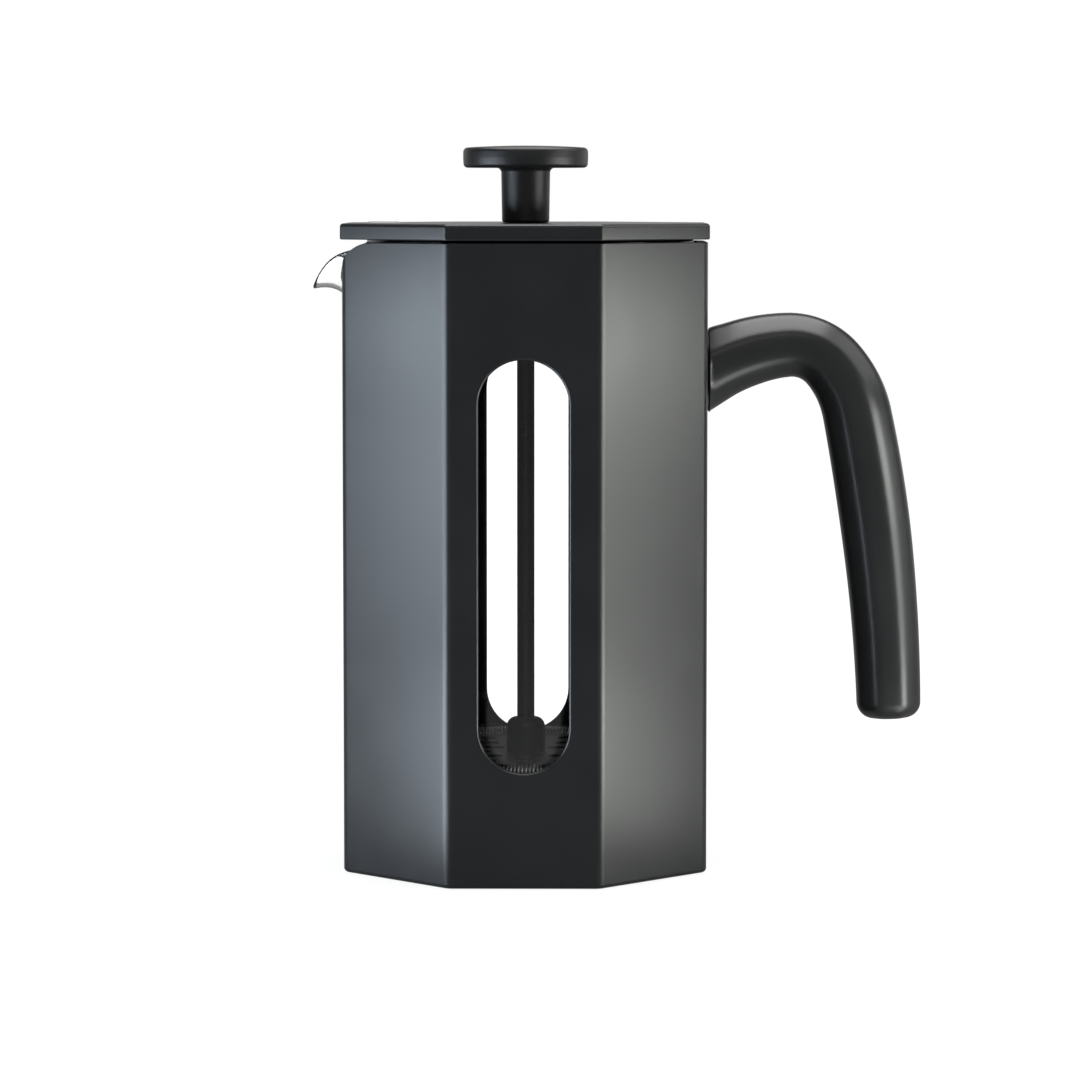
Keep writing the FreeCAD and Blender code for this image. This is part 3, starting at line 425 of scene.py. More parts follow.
def slot_loop(radius, grow, bottom, top, steps=24):
    """An upright slot with round ends as (across, height), from its lowest point anticlockwise."""
    wide = radius + grow
    low_middle = bottom + radius
    high_middle = top - radius
    right_low = arc((0, low_middle), wide, -90, 0, steps)
    right_high = arc((0, high_middle), wide, 0, 90, steps)
    left_high = arc((0, high_middle), wide, 90, 180, steps)
    left_low = arc((0, low_middle), wide, 180, 270, steps)
    if high_middle - low_middle < WELD:
        return right_low[:-1] + right_high[:-1] + left_high[:-1] + left_low[:-1]
    return right_low + right_high[:-1] + left_high + left_low[:-1]


def build_sleeve():
    """The octagonal sleeve with its two windows, the dip under the spout and the screws' holes."""
    half = high("sleeve").x
    bottom = low("sleeve").z
    top = high("sleeve").z
    # Each row is an inset from the outer face, a height, and whether that counts from the top edge.
    section = [(FOOT_ROUND - x, y, False) for x, y in arc((0, FOOT_ROUND), FOOT_ROUND, -90, 0, 6)]
    outer_wall = len(section) - 1
    section += [(RIM_ROUND - x, y, True) for x, y in arc((0, -RIM_ROUND), RIM_ROUND, 0, 90, 4)]
    section += [(WALL - RIM_ROUND - x, y, True)
                for x, y in arc((0, -RIM_ROUND), RIM_ROUND, 90, 180, 3)]
    inner_wall = len(section) - 1
    inner_foot = arc((0, SMALL_EDGE), SMALL_EDGE, 180, 270, 2)
    section += [(WALL - SMALL_EDGE - x, y, False) for x, y in inner_foot]
    bm = bmesh.new()
    rings = []
    for inset, height, from_top in section:
        ring = []
        for point in octagon(half - inset, BEND - inset, STRIPS):
            edge = top - (dip(point.y) if point.x < 0 else 0)
            ring.append(bm.verts.new((point.x, point.y, height + (edge if from_top else bottom))))
        rings.append(ring)
    starts = [sum(strips + BEND_STEPS for strips in STRIPS[:flat]) for flat in range(8)]
    window = [slot_loop(WINDOW_RADIUS, 0, WINDOW_LOW, WINDOW_HIGH)]
    screw_low = low("handle_screws").z
    screw_high = high("handle_screws").z
    screws = [
        slot_loop(SCREW_HEAD, 0, screw_low - SCREW_GAP, screw_low - SCREW_GAP + 2 * SCREW_HEAD),
        slot_loop(SCREW_HEAD, 0, screw_high + SCREW_GAP - 2 * SCREW_HEAD, screw_high + SCREW_GAP),
    ]
    pierced = {BACK_FLAT: window, FRONT_FLAT: window, HANDLE_FLAT: screws}
    open_quads = {starts[flat] + run for flat in pierced for run in (0, 1)}
    walls = (outer_wall, inner_wall)
    bridge(bm, rings, along=True, skip=lambda row, strip: row in walls and strip in open_quads)
    for flat, holes in pierced.items():
        facing = 2 * HALF_FLAT * flat
        out = Vector((math.cos(facing), math.sin(facing), 0))
        along = Vector((-out.y, out.x, 0))
        first = starts[flat]
        panels = [
            [rings[outer_wall][first + step] for step in range(3)] +
            [rings[outer_wall + 1][first + step] for step in range(3)],
            [rings[inner_wall + 1][first + step] for step in range(3)] +
            [rings[inner_wall][first + step] for step in range(3)],
        ]
        edges = [[], []]
        for hole in holes:
            hole_low = min(z for _, z in hole)
            hole_high = max(z for _, z in hole)
            radius = max(x for x, _ in hole)
            if flat == HANDLE_FLAT:
                narrow = SCREW_SHANK - SCREW_HEAD
                sizes = [(narrow, 0.0), (narrow, SCREW_RIM), (0.0, WALL)]
            else:
                sizes = arc((WINDOW_ROUND, WINDOW_ROUND), WINDOW_ROUND, -90, -180, 6)
                sizes += [(0.0, WALL - SMALL_EDGE), (EDGE_MIDDLE, WALL - EDGE_MIDDLE)]
                sizes += [(SMALL_EDGE, WALL)]
            loops = []
            for grow, depth in sizes:
                loop = []
                for across, z in slot_loop(radius, grow, hole_low, hole_high):
                    point = out * (half - depth) + along * across + Vector((0, 0, z))
                    loop.append(bm.verts.new(point))
                loops.append(loop)
            bridge(bm, loops)
            edges[0].append(loops[0])
            edges[1].append(loops[-1])
        for panel, holes_here in zip(panels, edges):
            count = len(holes_here[0])
            right = [panel[1], panel[2], panel[5], panel[4]]
            left = [panel[1], panel[0], panel[3], panel[4]]
            for loop in reversed(holes_here):
                right += [loop[n % count] for n in range(count // 2, -1, -1)]
                left += [loop[n % count] for n in range(count // 2, count + 1)]
            bm.faces.new(right)
            bm.faces.new(left)
    finish_mesh("sleeve_shell", bm, BLACK, "frame", ["sleeve"], 50)


# ---- glass ------------------------------------------------------------------------------------

GLASS_WALL = 1.8
GLASS_FLOOR = 2.5
GLASS_HEEL = 8.0
GLASS_SEGMENTS = 240
# Heights and radii of extra rings on the plain wall and on the floor.
WALL_RINGS = (40, 80, 120)
FLOOR_RINGS = (12, 26)
SPOUT_START = 150.0
SPOUT_HALF = math.radians(42)
# The spout leans out with this power of its cosine. The rim falls towards it in two parts: a share
# that falls gently over the whole angle, and the rest, which falls close to the tip.
SPOUT_FLARE = 4.8
GENTLE_SHARE = 0.36
GENTLE_FALL = 2
STEEP_FALL = 20
SPOUT_TIP = 165.3
SPOUT_REACH = 60.7
SPOUT_EDGE = 0.9
# The spout's curve goes upright to a little below the tip, then over a crest outside the plain wall.
SPOUT_THROAT = 2
SPOUT_CREST_OUT = 5.2
SPOUT_CREST_UP = 1.6


def bezier(points, part):
    """A point on a cubic curve with four control points in a plane."""
    left = 1 - part
    weights = (left ** 3, 3 * left ** 2 * part, 3 * left * part ** 2, part ** 3)
    return tuple(sum(w * p[axis] for w, p in zip(weights, points)) for axis in (0, 1))


def wall_section(away, steps=26):
    """The upright section of the glass at an angle from the spout: outer face, lip, inner face."""
    radius = high("beaker").y
    rim = high("beaker").z
    nearness = math.cos(math.pi / 2 * min(away / SPOUT_HALF, 1.0))
    share = nearness ** SPOUT_FLARE
    drop = GENTLE_SHARE * nearness ** GENTLE_FALL + (1 - GENTLE_SHARE) * nearness ** STEEP_FALL
    edge = GLASS_WALL + (SPOUT_EDGE - GLASS_WALL) * share
    poured = [
        (radius, SPOUT_START),
        (radius, SPOUT_TIP - SPOUT_THROAT),
        (radius + SPOUT_CREST_OUT, SPOUT_TIP + SPOUT_CREST_UP),
        (SPOUT_REACH, SPOUT_TIP),
    ]
    controls = []
    for number, (out, up) in enumerate(poured):
        plain_up = SPOUT_START + (rim - SPOUT_START) * number / 3
        widen = drop if number < 2 else share
        controls.append((radius + (out - radius) * widen, plain_up + (up - plain_up) * drop))
    # The faces stop short of the edge by half its thickness, which the round lip fills.
    end = (Vector(controls[3]) - Vector(controls[2])).normalized()
    outer = []
    for step in range(steps + 1):
        back = end * edge / 2 * (step / steps) ** 3
        point = Vector(bezier(controls, step / steps)) - back
        outer.append((point.x, point.y))
    inner = []
    for number, (out, up) in enumerate(outer):
        before = outer[max(number - 1, 0)]
        after = outer[min(number + 1, steps)]
        slope = math.atan2(after[1] - before[1], after[0] - before[0])
        thick = GLASS_WALL + (edge - GLASS_WALL) * number / steps
        inner.append((out - math.sin(slope) * thick, up + math.cos(slope) * thick))
    return outer, inner


def lip(outer, inner, rim, steps=8):
    """A fire-polished edge: half a circle between the two faces."""
    start = Vector(outer[-1])
    end = Vector(inner[-1])
    middle = (start + end) / 2
    across = start - middle
    ahead = Vector((-across.y, across.x))
    points = []
    for step in range(1, steps):
        angle = math.pi * step / steps
        point = middle + across * math.cos(angle) + ahead * math.sin(angle)
        points.append((point.x, min(point.y, rim)))
    return points


def build_beaker():
    """The glass beaker with its spout, as one closed skin."""
    bottom = low("beaker").z
    rim = high("beaker").z
    radius = high("beaker").y
    floor = bottom + GLASS_FLOOR
    inner_radius = radius - GLASS_WALL
    inner_heel = GLASS_HEEL - GLASS_WALL
    bm = bmesh.new()
    columns = []
    for step in range(GLASS_SEGMENTS):
        angle = 2 * math.pi * step / GLASS_SEGMENTS
        outer, inner = wall_section(abs(angle - math.pi))
        outside = [(r, bottom) for r in FLOOR_RINGS]
        outside += arc((radius - GLASS_HEEL, bottom + GLASS_HEEL), GLASS_HEEL, -90, 0, 10)
        outside += [(radius, z) for z in WALL_RINGS]
        inside = [(inner_radius, z) for z in reversed(WALL_RINGS)]
        inside += arc((inner_radius - inner_heel, floor + inner_heel), inner_heel, 0, -90, 10)
        inside += [(r, floor) for r in reversed(FLOOR_RINGS)]
        section = outside + outer + lip(outer, inner, rim) + inner[::-1] + inside
        columns.append([(r * math.cos(angle), r * math.sin(angle), z) for r, z in section])
    rings = [[bm.verts.new(point) for point in row] for row in zip(*columns)]
    bridge(bm, rings)
    for ring, height in ((rings[0], bottom), (rings[-1], floor)):
        centre = bm.verts.new((0, 0, height))
        for step in range(GLASS_SEGMENTS):
            bm.faces.new((ring[step], ring[(step + 1) % GLASS_SEGMENTS], centre))
    finish_mesh("beaker_glass", bm, GLASS, "beaker", ["beaker"], 60, False)


# ---- handle -----------------------------------------------------------------------------------

HANDLE_ROOT_Z = 142.0
HANDLE_HEADING = 32.3
# The arcs of the centre line, from the root: radius, and angle in degrees.
HANDLE_ARCS = [(48.0, 28.8), (16.0, 53.0), (32.0, 29.0), (478.0, 9.98)]
HANDLE_LENGTH = sum(radius * math.radians(bend) for radius, bend in HANDLE_ARCS)
# Share of the grip's length, depth and width there.
HANDLE_GIRTH = [
    (0.00, 23.8, 25.0),
    (0.05, 20.5, 22.6),
    (0.10, 19.4, 21.0),
    (0.20, 18.2, 19.4),
    (0.30, 18.7, 19.1),
    (0.40, 19.6, 19.5),
    (0.60, 20.0, 20.0),
    (0.80, 19.2, 19.6),
    (1.00, 18.3, 19.0),
]
# Over this share of its length the section turns from upright, at the sleeve, to square to the line.
HANDLE_ROOT_SHARE = 0.10
# The higher this power, the sharper the eight edges along the grip.
EDGE_SHARPNESS = 14
HANDLE_ROOT_ROUND = 0.7
HANDLE_ROOT_STEPS = 5
HANDLE_SECTIONS = 130
HANDLE_END_ROUND = 4.6
HANDLE_END_STEPS = 12


def along_handle(share):
    """The place and heading on the handle's centre line at a share of its length."""
    x = low("handle").x
    z = HANDLE_ROOT_Z
    heading = HANDLE_HEADING
    left = share * HANDLE_LENGTH
    for radius, bend in HANDLE_ARCS:
        part = min(left / radius, math.radians(bend))
        slope = math.radians(heading)
        x += radius * (math.sin(slope) - math.sin(slope - part))
        z += radius * (math.cos(slope - part) - math.cos(slope))
        heading -= math.degrees(part)
        left -= radius * part
    return x, z, heading


def handle_girth(share):
    """Depth and width of the grip, on a smooth curve through the rows of HANDLE_GIRTH."""
    last = len(HANDLE_GIRTH) - 1
    here = next(n for n in range(last) if share <= HANDLE_GIRTH[n + 1][0] + 1e-9)
    rows = [HANDLE_GIRTH[max(0, min(last, here + step))] for step in (-1, 0, 1, 2)]
    span = rows[2][0] - rows[1][0]
    part = (share - rows[1][0]) / span
    girths = []
    for column in (1, 2):
        start, end = rows[1][column], rows[2][column]
        slope_in = (end - rows[0][column]) / (rows[2][0] - rows[0][0]) * span
        slope_out = (rows[3][column] - start) / (rows[3][0] - rows[1][0]) * span
        bend = 3 * (end - start) - 2 * slope_in - slope_out
        twist = 2 * (start - end) + slope_in + slope_out
        girths.append(start + part * (slope_in + part * (bend + part * twist)))
    return girths


def handle_section(bm, x, z, heading, depth, width, steps=96):
    """The grip's section square to its centre line: an octagon with soft edges."""
    slope = math.radians(heading)
    ring = []
    for step in range(steps):
        angle = 2 * math.pi * step / steps
        facing = [abs(math.cos(angle - math.pi / 4 * face)) for face in range(4)]
        radius = sum(part ** EDGE_SHARPNESS for part in facing) ** (-1 / EDGE_SHARPNESS)
        along = radius * math.cos(angle) * depth / 2
        across = radius * math.sin(angle) * width / 2
        ring.append(bm.verts.new((x - math.sin(slope) * along, across, z + math.cos(slope) * along)))
    return ring


def build_handle():
    """The grip, from its softened root at the sleeve to its round free end."""
    bm = bmesh.new()
    rings = []
    x, z, _ = along_handle(0)
    depth, width = handle_girth(0)
    for step in range(HANDLE_ROOT_STEPS):
        lean = math.pi / 2 * step / HANDLE_ROOT_STEPS
        inset = 2 * HANDLE_ROOT_ROUND * (1 - math.sin(lean))
        ahead = HANDLE_ROOT_ROUND * (1 - math.cos(lean))
        rings.append(handle_section(bm, x + ahead, z, 0, depth - inset, width - inset))
    first = HANDLE_ROOT_ROUND / HANDLE_LENGTH
    for step in range(HANDLE_SECTIONS + 1):
        share = first + (1 - first) * step / HANDLE_SECTIONS
        x, z, heading = along_handle(share)
        heading *= min(share / HANDLE_ROOT_SHARE, 1.0)
        rings.append(handle_section(bm, x, z, heading, *handle_girth(share)))
    depth, width = handle_girth(1)
    slope = math.radians(heading)
    for step in range(1, HANDLE_END_STEPS + 1):
        lean = math.pi / 2 * step / HANDLE_END_STEPS
        ahead = HANDLE_END_ROUND * math.sin(lean)
        inset = 2 * HANDLE_END_ROUND * (1 - math.cos(lean))
        end_x = x + math.cos(slope) * ahead
        end_z = z + math.sin(slope) * ahead
        rings.append(handle_section(bm, end_x, end_z, heading, depth - inset, width - inset))
    bridge(bm, rings)
    # Both ends are closed with two smaller rings and a fan.
    for ring in (rings[0], rings[-1]):
        inner = ring
        middle = sum((v.co for v in ring), Vector()) / len(ring)
        for shrink in (0.66, 0.33):
            smaller = [bm.verts.new(middle + (v.co - middle) * shrink) for v in ring]
            bridge(bm, [inner, smaller])
            inner = smaller
        centre = bm.verts.new(middle)
        for step in range(len(inner)):
            bm.faces.new((inner[step], inner[(step + 1) % len(inner)], centre))
    finish_mesh("handle_grip", bm, GRIP, "frame", ["handle"], 60, False)


PAD_CORNER = 5.0
PAD_EDGE = 0.2


def build_handle_pad():
    """A thin pad with rounded corners and softened edges between sleeve and handle."""
    start, end = low("handle_pad"), high("handle_pad")
    middle = (start + end) / 2
    size = end - start
    bm = bmesh.new()
    rings = []
    near = start.x + PAD_EDGE
    far = end.x - PAD_EDGE
    for x, inset in ((start.x, PAD_EDGE), (near, 0), (far, 0), (end.x, PAD_EDGE)):
        across = size.y / 2 - inset
        up = size.z / 2 - inset
        corners = [(sx * across, sz * up, PAD_CORNER - inset) for sx, sz in RECTANGLE]
        outline = rounded(corners, 8)
        rings.append([bm.verts.new((x, middle.y + a, middle.z + b)) for a, b in outline])
    bridge(bm, rings)
    bm.faces.new(rings[0])
    bm.faces.new(rings[-1])
    finish_mesh("handle_pad_soft", bm, SILICONE, "frame", ["handle_pad"])


# ---- lid --------------------------------------------------------------------------------------

LID_BEND = 1.5
LID_BEND_STEPS = 6
LID_SMALLEST_BEND = 0.45
LID_ROUND = 1.0
LID_UNDER_ROUND = 0.5
LID_HOLE = 2.8
# The well in the lid's underside takes the top of the strainer collar.
WELL_GAP = 0.1
WELL_EDGE = 0.2
# Radius of an extra ring that keeps the lid's faces short.
LID_RING = 24


def build_lid_cover():
    """The octagonal lid with its hole for the rod and the well in its underside."""
    start, end = low("lid_cover"), high("lid_cover")
    half = end.x
    web_top = high("strainer_collar").z
    well = high("strainer_collar").x + WELL_GAP
    strips = [1] * 8
    outline = octagon(half, LID_BEND, strips, LID_BEND_STEPS)
    directions = [Vector(point).normalized() for point in outline]
    bm = bmesh.new()
    rings = []

    def circle(radius, z):
        rings.append([bm.verts.new((d.x * radius, d.y * radius, z)) for d in directions])

    def plate(inset, z):
        bend = max(LID_BEND - inset, LID_SMALLEST_BEND)
        points = octagon(half - inset, bend, strips, LID_BEND_STEPS)
        rings.append([bm.verts.new((p.x, p.y, z)) for p in points])

    circle(LID_HOLE, web_top)
    circle(LID_HOLE, end.z - SMALL_EDGE)
    circle(LID_HOLE + SMALL_EDGE, end.z)
    circle(LID_RING, end.z)
    for x, y in arc((0, -LID_ROUND), LID_ROUND, 90, 0, 6):
        plate(LID_ROUND - x, end.z + y)
    for x, y in arc((0, LID_UNDER_ROUND), LID_UNDER_ROUND, 0, -90, 5):
        plate(LID_UNDER_ROUND - x, start.z + y)
    circle(well + WELL_EDGE, start.z)
    circle(well, start.z + WELL_EDGE)
    circle(well, web_top)
    circle(LID_RING, web_top)
    bridge(bm, rings, along=True)
    finish_mesh("lid_plate", bm, BLACK, "lid", ["lid_cover"], 50)


MARK_CORNER = 2.2
MARK_SMALLEST_CORNER = 0.2
# The mark's soft rim: inset from its outline, and share of its height.
MARK_RIM = ((0.0, 0.0), (0.12, 0.35), (0.4, 0.72), (0.8, 0.93), (1.4, 1.0), (2.0, 1.0))


def build_pour_mark():
    """A raised mark with a soft rim, longer than it is wide."""
    start, end = low("pour_mark"), high("pour_mark")
    middle = (start + end) / 2
    half_long = (end.x - start.x) / 2
    half_wide = (end.y - start.y) / 2
    tall = end.z - start.z
    bm = bmesh.new()
    rings = []
    for inset, rise in MARK_RIM:
        corner = max(MARK_CORNER - inset, MARK_SMALLEST_CORNER)
        long = half_long - inset
        wide = half_wide - inset
        outline = rounded([(sx * long, sy * wide, corner) for sx, sy in RECTANGLE], 8)
        rings.append([bm.verts.new((middle.x + a, b, start.z + tall * rise)) for a, b in outline])
    bridge(bm, rings)
    bm.faces.new(rings[0])
    bm.faces.new(rings[-1])
    finish_mesh("pour_mark_inlay", bm, GREY, "lid", ["pour_mark"], 60)


# ---- plunger ----------------------------------------------------------------------------------

# Heights of the knob's disc, and radii of its stem and of the bore for the rod.
DISC_RIM = 205.5
DISC_UNDER = 199.8
STEM_HIGH = 7.0
STEM_LOW = 6.75
KNOB_BORE = 2.62
KNOB_BORE_DEPTH = 4
# The crown of the disc is modelled with rings out to this share of its radius.
CROWN_SHARE = 0.93
CROWN_STEPS = 8
ROD_EDGE = 0.4
# Radius of the hub's bore and the rounding of its shoulder.
HUB_BORE = 2.53
HUB_SHOULDER = 2.7


def build_knob():
    """The knob: a disc with a faint crown and a bulging rim on a slightly tapered stem."""
    start, end = low("knob"), high("knob")
    radius = end.x
    crown = [(0.0, end.z, 0)]
    for step in range(1, CROWN_STEPS):
        out = radius * CROWN_SHARE * step / CROWN_STEPS
        crown.append((out, end.z - (end.z - DISC_RIM) * (out / radius) ** 2, 0))
    corners = crown + [
        (radius - 0.05, DISC_RIM, 1.3),
        (radius, (DISC_RIM + DISC_UNDER) / 2, 6.0),
        (radius - 0.15, DISC_UNDER, 1.2),
        (STEM_HIGH, DISC_UNDER, 1.4),
        (STEM_LOW, start.z, 0.8),
        (KNOB_BORE, start.z, 0.2),
        (KNOB_BORE, start.z + KNOB_BORE_DEPTH, 0),
        (0.0, start.z + KNOB_BORE_DEPTH, 0),
    ]
    turned("knob_grip", corners, KNOB, "plunger", ["knob"], 160, 6, False)


def build_rod():
    """The plunger rod with softened ends."""
    start, end = low("rod"), high("rod")
    radius = end.x
    corners = [
        (0, start.z, 0),
        (radius, start.z, ROD_EDGE),
        (radius, end.z, ROD_EDGE),
        (0, end.z, 0),
    ]
    turned("plunger_rod", corners, COATED, "plunger", ["rod"], 48, 4, False)


def build_hub():
    """The hub above the filter, with a round shoulder."""
    start, end = low("hub"), high("hub")
    radius = end.x
    corners = [
        (HUB_BORE, start.z, 0),
        (radius, start.z, 0.3),
        (radius, end.z, HUB_SHOULDER),
        (HUB_BORE, end.z, 0.25),
    ]
    turned("filter_hub", corners, HUB, "plunger", ["hub"], 96, 8)


# The rim spring: radius of its wire, number of windings, points on each, and sides of the wire.
COIL_WIRE = 0.38
COIL_TURNS = 270
COIL_STEPS = 20
COIL_SIDES = 6


def build_coil_spring():
    """The wire helix that runs round the filter's rim."""
    start, end = low("coil_spring"), high("coil_spring")
    winding = (end.z - start.z) / 2 - COIL_WIRE
    middle = (end.z + start.z) / 2
    ring_radius = end.x - winding - COIL_WIRE
    count = COIL_TURNS * COIL_STEPS
    bm = bmesh.new()

    def on_wire(number):
        turn = 2 * math.pi * number / COIL_STEPS
        around = 2 * math.pi * number / count
        out = ring_radius + winding * math.cos(turn)
        up = middle + winding * math.sin(turn)
        return Vector((out * math.cos(around), out * math.sin(around), up))

    rings = []
    for number in range(count):
        here = on_wire(number)
        ahead = (on_wire(number + 1) - on_wire(number - 1)).normalized()
        around = 2 * math.pi * number / count
        core = Vector((ring_radius * math.cos(around), ring_radius * math.sin(around), middle))
        out = here - core
        out = (out - ahead * out.dot(ahead)).normalized()
        side = ahead.cross(out)
        ring = []
        for step in range(COIL_SIDES):
            angle = 2 * math.pi * step / COIL_SIDES
            away = out * math.cos(angle) + side * math.sin(angle)
            ring.append(bm.verts.new(here + away * COIL_WIRE))
        rings.append(ring)
    bridge(bm, rings, along=True)
    finish_mesh("rim_spring", bm, WIRE, "plunger", ["coil_spring"], 80, False)


# ---- the CAD pieces that stay -----------------------------------------------------------------

KEPT = {
    "base": BLACK,
    "foot_pad": SILICONE,
    "base_cushion": SILICONE,
    "upper_spacer": SILICONE,
    "handle_screws": STEEL,
    "handle_inserts": BRASS,
    "strainer_collar": BLACK,
    "lid_seal": SILICONE,
    "rod_bush": KNOB,
    "knob_insert": BRASS,
    "spring_plate": DULL_STEEL,
    "filter_mesh": MESH,
    "cross_plate": DULL_STEEL,
    "rod_nut": STEEL,
}


def dress_cad():
    """Gives the CAD pieces that stay their materials."""
    for name, material in KEPT.items():
        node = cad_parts[name]
        node.data.materials.clear()
        node.data.materials.append(material)


# ---- floor, light and camera ------------------------------------------------------------------

# The glass walls mirror part of what is behind them away; this makes up for it.
THROUGH_GLASS = 1.35
# How bright the room and the floor are in reflections, where 1 is the white that is seen directly.
MIRRORED_ROOM = 0.09
MIRRORED_FLOOR = 0.18
FLOOR_HALF = 6000
FLOOR_ROUGHNESS = 0.9
# The floor's glow is painted light: a little weaker near the press, where the lamps light it, and
# stronger further out, where they reach less. The second pair says between which distances from the
# axis, in metres, the glow grows.
FLOOR_GLOW = (0.9, 1.0)
FLOOR_GLOW_REACH = (0.12, 0.45)


def straight_view(nodes, links):
    """1 for what is seen directly, a little more through glass, 0 for what is lit or mirrored."""
    path = nodes.new("ShaderNodeLightPath")
    clear = nodes.new("ShaderNodeMath")
    clear.operation = "ADD"
    links.new(path.outputs["Glossy Depth"], clear.inputs[0])
    links.new(path.outputs["Diffuse Depth"], clear.inputs[1])
    unturned = nodes.new("ShaderNodeMath")
    unturned.operation = "LESS_THAN"
    unturned.inputs[1].default_value = 0.5
    links.new(clear.outputs["Value"], unturned.inputs[0])
    through = nodes.new("ShaderNodeMath")
    through.operation = "MULTIPLY"
    links.new(path.outputs["Is Transmission Ray"], through.inputs[0])
    links.new(unturned.outputs["Value"], through.inputs[1])
    brighter = nodes.new("ShaderNodeMath")
    brighter.operation = "MULTIPLY"
    brighter.inputs[1].default_value = THROUGH_GLASS
    links.new(through.outputs["Value"], brighter.inputs[0])
    seen = nodes.new("ShaderNodeMath")
    seen.operation = "MAXIMUM"
    links.new(path.outputs["Is Camera Ray"], seen.inputs[0])
    links.new(brighter.outputs["Value"], seen.inputs[1])
    return seen.outputs["Value"]


def build_floor():
    """A pale seamless floor, lit by the lamps and by a painted glow that is weaker near the press, so
    that only a faint shadow shows, and dim in reflections.
    """
    bm = bmesh.new()
    bm.faces.new([bm.verts.new((x * FLOOR_HALF, y * FLOOR_HALF, 0)) for x, y in RECTANGLE])
    bmesh.ops.scale(bm, vec=(MM, MM, MM), verts=bm.verts)
    mesh = bpy.data.meshes.new("floor")
    bm.to_mesh(mesh)
    bm.free()
    material, nodes, links, shader = new_material("pale_floor")
    cloud = noise(nodes, links, 3, 2)
    shade = tinted(nodes, links, cloud, (0.10, 0.10, 0.10), (0.11, 0.11, 0.11))
    links.new(shade, shader.inputs["Base Color"])
    shader.inputs["Roughness"].default_value = FLOOR_ROUGHNESS
    shader.inputs["Specular IOR Level"].default_value = 0.0
    shader.inputs["Emission Color"].default_value = (1, 1, 1, 1)
    place = nodes.new("ShaderNodeTexCoord")
    distance = nodes.new("ShaderNodeVectorMath")
    distance.operation = "LENGTH"
    links.new(place.outputs["Object"], distance.inputs[0])
    # Painted light: the floor's glow is weaker near the press and grows further out, where the lamps
    # reach less.
    painted_glow = ramp(nodes, links, distance.outputs["Value"], *FLOOR_GLOW, *FLOOR_GLOW_REACH)
    glow = nodes.new("ShaderNodeMapRange")
    glow.clamp = False
    glow.inputs["To Min"].default_value = MIRRORED_FLOOR
    links.new(painted_glow, glow.inputs["To Max"])
    links.new(straight_view(nodes, links), glow.inputs["Value"])
    links.new(glow.outputs["Result"], shader.inputs["Emission Strength"])
    mesh.materials.append(material)
    floor = bpy.data.objects.new("floor", mesh)
    bpy.context.scene.collection.objects.link(floor)


def softbox(name, place, target, width, height, radiance, colour, reaches_inside):
    """A rectangular soft light that faces its target and stays out of the picture itself.

    Its strength is a radiance. One that reaches inside also shines through the glass.
    """
    light = bpy.data.lights.new(name, "AREA")
    light.shape = "RECTANGLE"
    light.size = width
    light.size_y = height
    light.energy = radiance * math.pi * width * height
    light.color = colour
    lamp = bpy.data.objects.new(name, light)
    lamp.location = place
    lamp.rotation_euler = (Vector(target) - Vector(place)).to_track_quat("-Z", "Y").to_euler()
    lamp.visible_camera = False
    lamp.visible_transmission = reaches_inside
    bpy.context.scene.collection.objects.link(lamp)


COOL = (0.77, 0.88, 1.0)
NEUTRAL = (0.97, 1.0, 0.955)
WHITE = (1.0, 1.0, 1.0)
# How far the side lights stand from the axis, in metres.
LIGHT_AWAY = 0.32
# Their strips, in metres: front and back edge (y), lower and upper edge (z), and radiance. A dark band
# is left between the lowest strip and the rest.
LEFT_LIGHTS = [
    (-0.30, -0.05, 0.0, 0.022, 24.5),
    (-0.30, -0.02, 0.045, 0.08, 5.7),
    (-0.30, -0.02, 0.08, 0.115, 8.2),
    (-0.30, -0.02, 0.115, 0.14, 3.8),
    (-0.30, -0.02, 0.14, 0.162, 20.5),
]
RIGHT_LIGHTS = [
    (-0.24, -0.06, 0.0, 0.022, 28.0),
    (-0.24, -0.032, 0.045, 0.115, 4.1),
    (-0.24, -0.032, 0.115, 0.14, 9.0),
    (-0.24, -0.032, 0.14, 0.162, 19.5),
]
SIDES = (("left", -LIGHT_AWAY, LEFT_LIGHTS, COOL), ("right", LIGHT_AWAY, RIGHT_LIGHTS, NEUTRAL))
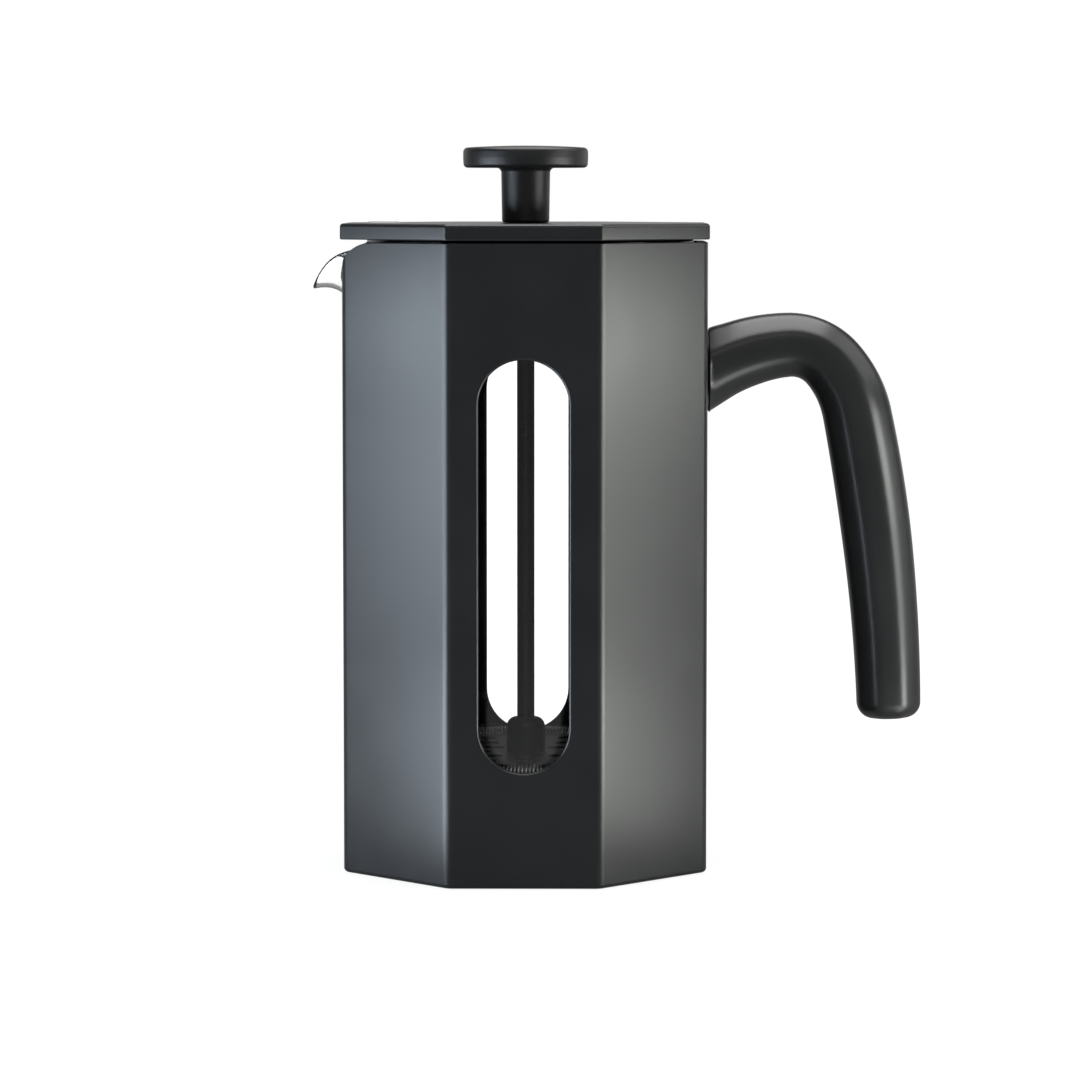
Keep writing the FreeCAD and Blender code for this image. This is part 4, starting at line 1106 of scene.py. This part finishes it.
# The other lights, in metres: name, place, target, width, height, radiance, colour, and whether it
# reaches inside the glass.
SOFTBOXES = [
    ("left_floor_card", (-0.20, -0.10, 0.002), (-0.20, -0.10, 1), 0.24, 0.10, 7.0, COOL, False),
    ("right_floor_card", (0.22, -0.09, 0.002), (0.22, -0.09, 1), 0.20, 0.12, 3.6, NEUTRAL, False),
    ("right_high_softbox", (0.62, -0.02, 0.55), (0.09, 0, 0.12), 0.5, 0.4, 2.0, WHITE, False),
    ("right_rim", (0.50, 0.36, 0.14), (0.1, 0, 0.14), 0.35, 0.28, 0.4, WHITE, False),
    ("backdrop", (0, 1.6, 0.42), (0, 0, 0.42), 3.4, 0.72, 0.5, WHITE, False),
    ("front_softbox", (0, -1.6, 0.5), (0, 0, 0.1), 1.2, 0.5, 0.3, WHITE, True),
    ("front_high_softbox", (0, -1.1, 0.95), (0, 0, 0.03), 0.9, 0.4, 1.1, WHITE, True),
    ("top_softbox", (0.05, 0.1, 0.95), (0.05, 0.1, 0), 1.0, 0.8, 5.2, WHITE, False),
]


def build_light():
    """The soft lights, and a room that is white when it is seen and dim when it is mirrored."""
    for side, x, strips, colour in SIDES:
        for number, (front, back, bottom, top, radiance) in enumerate(strips):
            y = (front + back) / 2
            z = (bottom + top) / 2
            place = (x, y, z)
            target = (0, y, z)
            name = f"{side}_softbox_{number}"
            softbox(name, place, target, back - front, top - bottom, radiance, colour, False)
    for row in SOFTBOXES:
        softbox(*row)
    world = bpy.data.worlds.new("studio")
    bpy.context.scene.world = world
    world.use_nodes = True
    nodes = world.node_tree.nodes
    links = world.node_tree.links
    background = nodes["Background"]
    background.inputs["Color"].default_value = (1, 1, 1, 1)
    strength = nodes.new("ShaderNodeMapRange")
    strength.clamp = False
    strength.inputs["To Min"].default_value = MIRRORED_ROOM
    strength.inputs["To Max"].default_value = 1.0
    links.new(straight_view(nodes, links), strength.inputs["Value"])
    links.new(strength.outputs["Result"], background.inputs["Strength"])
    bpy.context.scene.view_settings.view_transform = "Standard"


# The camera: lens and sensor in millimetres, place in metres, how far it looks down and to the left in
# degrees, and how far it sees in metres.
LENS = 143.83
SENSOR = 36.0
EYE = (0.0141, -1.2392, 0.1936)
LOOKS_DOWN = 4.65
LOOKS_LEFT = 0.443
FARTHEST_SEEN = 50


def build_camera():
    """The eye stands in front of the press, a little above the lid, and looks slightly down."""
    camera = bpy.data.cameras.new("camera")
    camera.sensor_width = SENSOR
    camera.lens = LENS
    camera.clip_end = FARTHEST_SEEN
    eye = bpy.data.objects.new("camera", camera)
    eye.location = EYE
    eye.rotation_euler = (math.radians(90 - LOOKS_DOWN), 0, math.radians(LOOKS_LEFT))
    bpy.context.scene.collection.objects.link(eye)
    bpy.context.scene.camera = eye


build_camera()
build_sleeve()
build_beaker()
build_handle()
build_handle_pad()
build_lid_cover()
build_pour_mark()
build_knob()
build_rod()
build_hub()
build_coil_spring()
dress_cad()
build_floor()
build_light()
